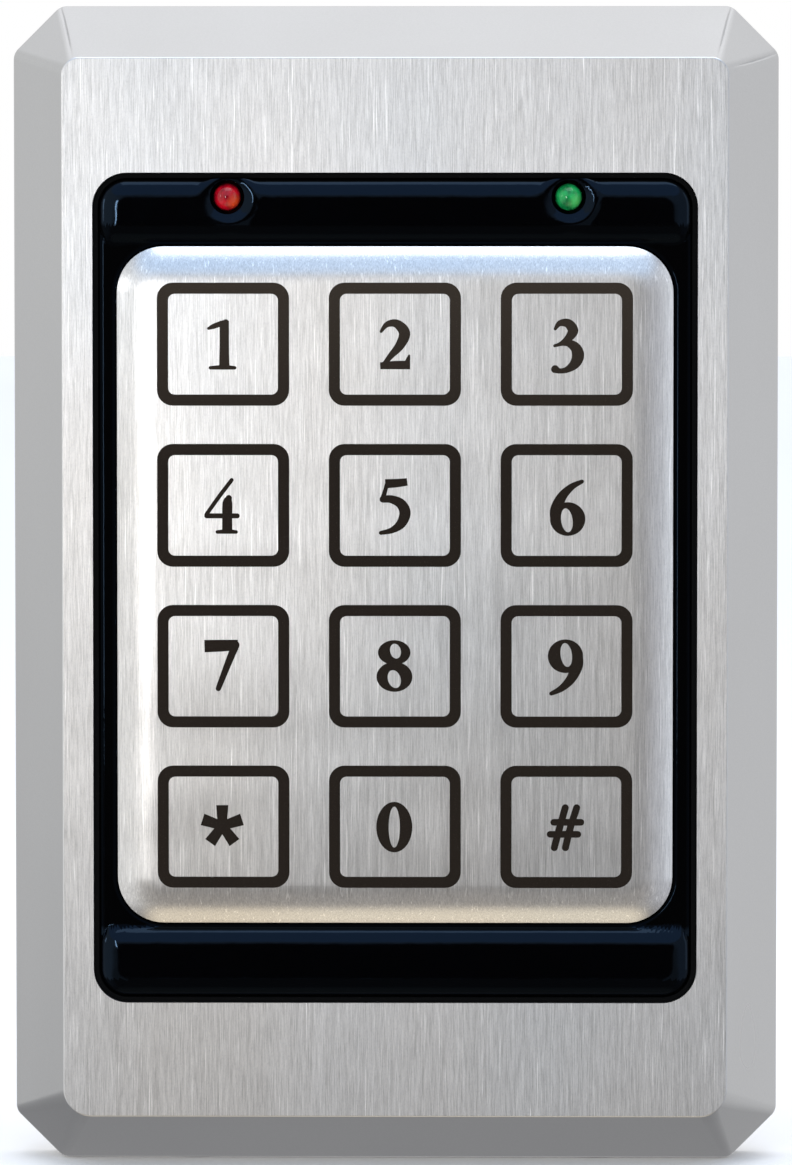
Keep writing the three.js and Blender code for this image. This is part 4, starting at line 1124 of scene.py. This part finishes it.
def make_back_plate():
    plate = extent("back_plate")
    offset = (extent("housing").width - plate.width) / 2
    levels = []
    for step in range(BACK.bend_steps + 1):
        angle = math.pi / 2 * step / BACK.bend_steps
        inset = offset + BACK.bend * (1 - math.sin(angle))
        outline = housing_outline(inset, BACK.radius, BACK.radius)
        levels.append((outline, plate.d0 + BACK.bend * (1 - math.cos(angle))))
    levels.append((housing_outline(offset, BACK.radius, BACK.radius), plate.d1))
    pan = loft("back_plate", levels)
    inside = housing_outline(offset + BACK.flange, BACK.inner_radius, BACK.inner_radius)
    boolean(pan, prism("inside", inside, plate.d0 + BACK.sheet, plate.d1 + PAST))

    def through(outline):
        return prism("opening", outline, -PAST, 2 * BACK.sheet)

    def drilled(radius, x, y):
        return rod("hole", radius, -PAST, 2 * BACK.sheet, (x, y), 40)

    grommet = extent("plunger_grommet")
    boolean(pan, through(rounded_rect(*BACK.window, 8, (0, extent("wiring_header").cy))))
    for side, name in ((-1, "left"), (1, "right")):
        boolean(pan, through(rounded_rect(*BACK.slot, 12, (0, side * BACK.box_screw_y))))
        for up in (-1, 1):
            boolean(pan, drilled(BACK.wall_hole, side * BACK.wall_x, up * BACK.wall_y))
        nut = extent(f"clinch_nut_{name}")
        socket = rod("socket", BACK.nut_hole, -2, 2, sides=40)
        boolean(pan, stand_up(socket, nut.cx, plate.y0 + BACK.flange / 2, (nut.d0 + nut.d1) / 2))
        hook = rounded_rect(*BACK.hook, 3, (side * BACK.hook_x, plate.y1 - BACK.hook[1] / 2))
        boolean(pan, prism("hook", hook, BACK.hook_rear, plate.d1), "UNION")
    boolean(pan, drilled(BACK.grommet_hole, grommet.cx, grommet.cy))
    place(soften(pan, 0.12, 2, 40), LOOKS["zinc"], ["back_plate"])

    seal = extent("perimeter_seal")
    outer = housing_outline(WALL + SEAL.gap, SEAL.outer_radius, SEAL.outer_radius)
    inner = housing_outline(offset - SEAL.inner_gap, SEAL.inner_radius, SEAL.inner_radius)
    foam = prism("perimeter_seal", outer, seal.d0, seal.d1)
    boolean(foam, prism("inside", inner, seal.d0 - PAST, seal.d1 + PAST))
    place(soften(foam, 0.15, 3), LOOKS["rubber"], ["perimeter_seal"])


# ---------------------------------------------------------------- wiring header and tamper switch

SOCKET = SimpleNamespace(
    width=20.4, height=8.8, radius=0.35, wall=1.2, floor=1.5, mouth_radius=0.2,
    key=4.5, key_root=3, columns=5, pitch=2.54, pin=0.64, pin_drop=2, tip=0.3, taper=0.5,
)
PLUNGER = SimpleNamespace(rod=1.45, collar=4.4, collar_rear=6, collar_front=6.8, edge=0.15)
GROMMET = SimpleNamespace(neck=2.35, radius=3.6, sleeve=1.5, edge=0.25, bore_gap=0.12)
SPRING = SimpleNamespace(wire=0.25, coil=3.85, turns=4.0, steps=160, sides=10, flat=0.18)


def make_wiring_header():
    socket = extent("wiring_header")
    centre = (socket.cx, socket.cy)
    case = rounded_rect(SOCKET.width, SOCKET.height, SOCKET.radius, 3, centre)
    shroud = prism("wiring_header", case, socket.d0, socket.d1)
    mouth = rounded_rect(
        SOCKET.width - 2 * SOCKET.wall, SOCKET.height - 2 * SOCKET.wall, SOCKET.mouth_radius, 3, centre,
    )
    boolean(shroud, prism("mouth", mouth, socket.d0 - PAST, socket.d1 - SOCKET.floor))
    key_centre = (socket.cx, socket.cy + SOCKET.height / 2)
    key = rounded_rect(SOCKET.key, SOCKET.height, SOCKET.mouth_radius, 3, key_centre)
    boolean(shroud, prism("key", key, socket.d0 - PAST, socket.d1 - SOCKET.key_root))
    place(soften(shroud, 0.12, 2), LOOKS["component"], ["wiring_header"])

    start, end = socket.d0 + SOCKET.pin_drop, socket.d1 - SOCKET.floor - 0.01
    pins = []
    for column in range(SOCKET.columns):
        for row in (-0.5, 0.5):
            x = centre[0] + (column - (SOCKET.columns - 1) / 2) * SOCKET.pitch
            spot = (x, centre[1] + row * SOCKET.pitch)
            tip = rounded_rect(SOCKET.tip, SOCKET.tip, 0.05, 2, spot)
            full = rounded_rect(SOCKET.pin, SOCKET.pin, 0.05, 2, spot)
            pins.append(loft("pin", [(tip, start), (full, start + SOCKET.taper), (full, end)]))
    place(soften(join("wiring_header_pins", pins)), LOOKS["gold"])


def make_tamper_plunger():
    plunger = extent("tamper_plunger")
    radius, collar, edge = PLUNGER.rod, PLUNGER.collar, PLUNGER.edge
    rear, front = PLUNGER.collar_rear, PLUNGER.collar_front
    profile = [
        (0, plunger.d0), (radius - 0.6, plunger.d0), (radius - 0.25, plunger.d0 + 0.12),
        (radius, plunger.d0 + 0.5), (radius, rear - 0.2), (radius + 0.2, rear),
        (collar - edge, rear), (collar, rear + edge), (collar, front - edge), (collar - edge, front),
        (radius, front), (radius, plunger.d1), (0, plunger.d1),
    ]
    piece = turned("tamper_plunger", profile, (plunger.cx, plunger.cy))
    place(soften(piece, angle=40), LOOKS["matte_black"], ["tamper_plunger"], "plunger")


def make_plunger_grommet():
    grommet, plunger = extent("plunger_grommet"), extent("tamper_plunger")
    spot = (plunger.cx, plunger.cy)
    neck, radius, sleeve = GROMMET.neck, GROMMET.radius, grommet.d0 + GROMMET.sleeve
    profile = [
        (0, grommet.d0), (neck, grommet.d0), (neck, sleeve), (radius - 0.2, sleeve), (radius, sleeve + 0.2),
        (radius, grommet.d1 - GROMMET.edge), (radius - GROMMET.edge, grommet.d1), (0, grommet.d1),
    ]
    ring = turned("plunger_grommet", profile, spot)
    boolean(ring, rod("bore", PLUNGER.rod + GROMMET.bore_gap, -PAST, 4, spot))
    place(soften(ring, 0.08, 2), LOOKS["rubber"], ["plunger_grommet"])


def make_tamper_spring():
    """A wound wire whose end turns lie flat."""
    spring = extent("tamper_spring")
    x, y = extent("tamper_plunger").cx, extent("tamper_plunger").cy
    low, high = spring.d0 + SPRING.wire, spring.d1 - SPRING.wire
    points = []
    for step in range(SPRING.steps + 1):
        share = step / SPRING.steps
        angle = 2 * math.pi * SPRING.turns * share
        rise = min(max((share - SPRING.flat) / (1 - 2 * SPRING.flat), 0), 1)
        for side in range(SPRING.sides):
            around = 2 * math.pi * side / SPRING.sides
            reach = SPRING.coil + SPRING.wire * math.cos(around)
            depth = low + (high - low) * rise + SPRING.wire * math.sin(around)
            points.append((x + reach * math.cos(angle), y + reach * math.sin(angle), depth))
    sides = SPRING.sides
    faces = [tuple(range(sides)), tuple(range(SPRING.steps * sides, (SPRING.steps + 1) * sides))]
    for step in range(SPRING.steps):
        for side in range(sides):
            a, b = step * sides + side, step * sides + (side + 1) % sides
            faces.append((a, b, b + sides, a + sides))
    wound = soften(build("tamper_spring", points, faces), angle=50)
    wound.data.materials.append(LOOKS["spring"])
    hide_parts("tamper_spring")
    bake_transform(wound)


# ---------------------------------------------------------------- fasteners and inner parts

SCREW = SimpleNamespace(head=2.3, shank=1.25, edge=0.1, pitch=0.5, thread=0.17, recess=1)
DISC = SimpleNamespace(brass=5, ceramic=3.7, brass_sheet=0.22, edge=0.05, gap=0.01)
CHIP = SimpleNamespace(lead_reach=0.4, lead_length=0.8, lead_width=0.28, lead_sheet=0.16, pitch=0.65, leads=8)
PAD = SimpleNamespace(radius=0.9, bore=0.5, sheet=0.04, gap=0.005)


def make_housing_screws():
    head, shank, edge = SCREW.head, SCREW.shank, SCREW.edge
    for side in ("left", "right"):
        screw = extent(f"housing_screw_{side}")
        length = screw.height
        profile = [(0, 0), (head - 0.12, 0), (head, edge), (shank, head - shank + edge)]
        crest = head - shank + 0.3
        while crest < length - 0.4:
            profile += [(shank, crest), (shank - SCREW.thread, crest + SCREW.pitch / 2)]
            crest += SCREW.pitch
        profile += [(shank - 0.3, length), (0, length)]
        made = turned(f"housing_screw_{side}", profile, sides=48)
        recess = [(0, -PAST), (SCREW.recess, -PAST), (SCREW.recess, 0.75), (0, 1.0)]
        boolean(made, turned("recess", recess, sides=6))
        post = turned("post", [(0, 0.12), (0.3, 0.12), (0.36, 0.2), (0.36, 0.9), (0, 0.9)], sides=24)
        made = join(f"housing_screw_{side}", [made, post])
        stand_up(made, screw.cx, screw.y0, (screw.d0 + screw.d1) / 2)
        soften(made, angle=30)
        place(made, LOOKS["screw"], [f"housing_screw_{side}"])


def make_sensors():
    edge = DISC.edge
    for name in KEYS:
        disc = extent(f"piezo_disc_{name}")
        spot = (disc.cx, disc.cy)
        rear = disc.d1 - DISC.brass_sheet
        profile = [
            (0, rear), (DISC.brass - edge, rear), (DISC.brass, rear + edge), (DISC.brass, disc.d1 - edge),
            (DISC.brass - edge, disc.d1), (0, disc.d1),
        ]
        plate = turned(f"piezo_disc_{name}", profile, spot, 48)
        place(soften(plate), LOOKS["brass"], [f"piezo_disc_{name}"])
        top = rear - DISC.gap
        profile = [
            (0, disc.d0), (DISC.ceramic - edge, disc.d0), (DISC.ceramic, disc.d0 + edge),
            (DISC.ceramic, top), (0, top),
        ]
        ceramic = turned(f"piezo_ceramic_{name}", profile, spot, 48)
        place(soften(ceramic), LOOKS["ceramic"])


def make_microcontroller():
    chip = extent("microcontroller")
    body = rounded_rect(chip.width - 1.4, chip.height - 1.4, 0.2, 3, (chip.cx, chip.cy))
    made = prism("microcontroller", body, chip.d0, chip.d1 - 0.1)
    boolean(made, rod("dot", 0.35, chip.d0 - PAST, chip.d0 + 0.1, (chip.cx - 2, chip.cy + 2), 24))
    place(soften(made, 0.1, 2), LOOKS["component"], ["microcontroller"])
    leads = []
    for index in range(CHIP.leads):
        shift = (index - (CHIP.leads - 1) / 2) * CHIP.pitch
        for side in (-1, 1):
            reach = side * (chip.width / 2 - CHIP.lead_reach)
            for spot, size in (
                ((chip.cx + reach, chip.cy + shift), (CHIP.lead_length, CHIP.lead_width)),
                ((chip.cx + shift, chip.cy + reach), (CHIP.lead_width, CHIP.lead_length)),
            ):
                outline = rounded_rect(*size, 0.05, 2, spot)
                leads.append(prism("lead", outline, chip.d1 - CHIP.lead_sheet, chip.d1))
    place(soften(join("microcontroller_leads", leads)), LOOKS["can"])


def make_lamp_pads():
    board = extent("control_board")
    pads = []
    for colour in ("red", "green"):
        lamp = extent(f"lamp_{colour}")
        for side in (-1, 1):
            spot = (lamp.cx + side * LAMP.lead_pitch, lamp.cy)
            ring = rod("pad", PAD.radius, board.d0 - PAD.sheet, board.d0 - PAD.gap, spot, 32)
            boolean(ring, rod("bore", PAD.bore, 0, board.d1 + PAST, spot, 24))
            pads.append(ring)
    place(soften(join("control_board_pads", pads)), LOOKS["gold"])


# (node, look, slot, width of its rounded edges in millimetres)
REFINED = [
    ("module_back_cover", "matte_black", "matte_black", 0.15),
    ("cover_seal", "rubber", "rubber_black", 0.06),
    ("control_board", "laminate", "laminate_green", 0.05),
    ("sensor_board", "laminate", "laminate_green", 0.05),
    ("disc_spacer", "spacer", "spacer_sheet", 0.0),
    ("board_link_header", "component", "component_black", 0.15),
    ("sounder", "component", "component_black", 0.2),
    ("output_relay", "relay", "component_black", 0.4),
    ("voltage_regulator", "component", "component_black", 0.15),
    ("filter_capacitor", "can", "can_metal", 0.12),
    ("crystal", "can", "can_metal", 0.35),
    ("option_jumper", "component", "component_black", 0.12),
    ("tamper_switch", "component", "component_black", 0.12),
    ("clinch_nut_left", "zinc", "zinc_steel", 0.1),
    ("clinch_nut_right", "zinc", "zinc_steel", 0.1),
]
REFINED += [(f"module_nut_{corner}", "zinc", "zinc_steel", 0.15) for corner in CORNERS]
REFINED += [(f"board_screw_{corner}", "screw", "screw_steel", 0.06) for corner in CORNERS]
REFINED += [(f"cover_screw_{corner}", "screw", "screw_steel", 0.05) for corner in CORNERS]


def refine(node, look, slot, edge):
    """Stands a softened copy in for a CAD node whose shape is right."""
    place(soften(copy_of(node, f"{node}_finished"), edge, 2, 40), LOOKS[look], [node])


# ---------------------------------------------------------------- floor and light

FLOOR_HALF = 4.0
FLOOR_GAP = 0.1


def make_floor():
    half, top = FLOOR_HALF, cad_box[0].z - FLOOR_GAP * MM
    mesh = bpy.data.meshes.new("floor")
    corners = [(-half, -half, top), (half, -half, top), (half, half, top), (-half, half, top)]
    mesh.from_pydata(corners, [], [(0, 1, 2, 3)])
    floor = bpy.data.objects.new("floor", mesh)
    scene.collection.objects.link(floor)
    look = Look("floor_pale", grey(0.8), 0.6)
    drift = look.noise((0.001, 0.001, 0.001), detail=1)
    look.color(look.ramp(drift, (0.3, grey(0.88)), (0.7, grey(0.92))))
    mesh.materials.append(look.material)
    floor.visible_glossy = False  # so that the reader's gloss shows the studio and not the floor's edge


SURROUND = (0.8, 0.8, 0.81)
# (direction, cosine where it begins, cosine where it is full, colour), one laid over the other
GLOWS = [
    ((0, 0, -1), 0.3, 0.85, (0.35, 0.35, 0.36)),
    ((0.87, 0.5, 0.3), 0.84, 0.96, (0.93, 0.93, 0.94)),
    ((-0.87, 0.5, -0.58), 0.8, 0.93, (0.34, 0.34, 0.35)),
    ((-0.87, 0.5, 0.3), 0.84, 0.96, (0.88, 0.88, 0.88)),
    ((0, 0.35, 1), 0.6, 0.9, (1.3, 1.3, 1.32)),
    ((-1, -0.6, 0), 0.55, 0.85, (1.15, 1.15, 1.14)),
    ((1, -0.6, 0.1), 0.55, 0.85, (0.72, 0.74, 0.8)),
    ((0, -0.9, -0.42), 0.8, 0.92, (0.44, 0.41, 0.38)),
    ((0, -0.42, -0.91), 0.88, 0.96, (1.35, 1.2, 0.95)),
    ((0, -0.64, 0.77), 0.799, 0.829, (0.9, 1.16, 1.55)),
    ((0, -1, -0.05), 0.96, 0.985, (0.003, 0.003, 0.003)),
]


def make_world():
    """A surround put together from glows, which a camera ray passes to see plain white."""
    world = bpy.data.worlds.new("studio")
    scene.world = world
    world.use_nodes = True
    tree = world.node_tree
    tree.nodes.clear()
    link = tree.links.new

    def node(kind, **settings):
        made = tree.nodes.new(kind)
        for setting, value in settings.items():
            setattr(made, setting, value)
        return made

    direction = node("ShaderNodeTexCoord").outputs["Generated"]
    color = node("ShaderNodeRGB").outputs["Color"]
    color.default_value = (*SURROUND, 1)
    for towards, begin, full, glow in GLOWS:
        dot = node("ShaderNodeVectorMath", operation="DOT_PRODUCT")
        dot.inputs[1].default_value = Vector(towards).normalized()
        link(direction, dot.inputs[0])
        share = node("ShaderNodeMapRange", interpolation_type="SMOOTHSTEP")
        share.inputs["From Min"].default_value = begin
        share.inputs["From Max"].default_value = full
        link(dot.outputs["Value"], share.inputs["Value"])
        mix = node("ShaderNodeMix", data_type="RGBA")
        link(share.outputs["Result"], mix.inputs[0])
        link(color, mix.inputs[6])
        mix.inputs[7].default_value = (*glow, 1)
        color = mix.outputs[2]
    lit, seen = node("ShaderNodeBackground"), node("ShaderNodeBackground")
    link(color, lit.inputs["Color"])
    seen.inputs["Color"].default_value = (1, 1, 1, 1)
    either = node("ShaderNodeMixShader")
    link(node("ShaderNodeLightPath").outputs["Is Camera Ray"], either.inputs["Fac"])
    link(lit.outputs["Background"], either.inputs[1])
    link(seen.outputs["Background"], either.inputs[2])
    link(either.outputs["Shader"], node("ShaderNodeOutputWorld").inputs["Surface"])


# (name, place in metres, width, height, watts, colour)
SOFTBOXES = [
    ("top_box", (0.1, -0.3, 0.9), 0.8, 0.5, 3.0, (1.0, 1.0, 1.0)),
    ("strip_light", (-0.12, -0.4, 0.022), 0.02, 0.13, 0.29, (1.0, 0.985, 0.97)),
    ("left_glint", (-0.62, -0.34, 0.14), 0.08, 0.2, 0.35, (1.0, 1.0, 1.0)),
    ("right_box", (0.9, -0.35, 0.2), 0.3, 0.8, 0.7, (0.85, 0.93, 1.0)),
]


def make_lights():
    for name, spot, width, height, watts, color in SOFTBOXES:
        data = bpy.data.lights.new(name, "AREA")
        data.shape = "RECTANGLE"
        data.size = width
        data.size_y = height
        data.energy = watts
        data.color = color
        light = bpy.data.objects.new(name, data)
        light.location = spot
        light.rotation_euler = (-Vector(spot)).to_track_quat("-Z", "Y").to_euler()
        scene.collection.objects.link(light)
    scene.view_settings.view_transform = "Standard"


make_camera()
make_housing()
make_key_plate()
make_module_frame()
make_window_gasket()
make_lamp("red")
make_lamp("green")
make_back_plate()
make_wiring_header()
make_tamper_plunger()
make_plunger_grommet()
make_tamper_spring()
make_housing_screws()
make_sensors()
make_microcontroller()
make_lamp_pads()
for row in REFINED:
    refine(*row)
make_floor()
make_world()
make_lights()
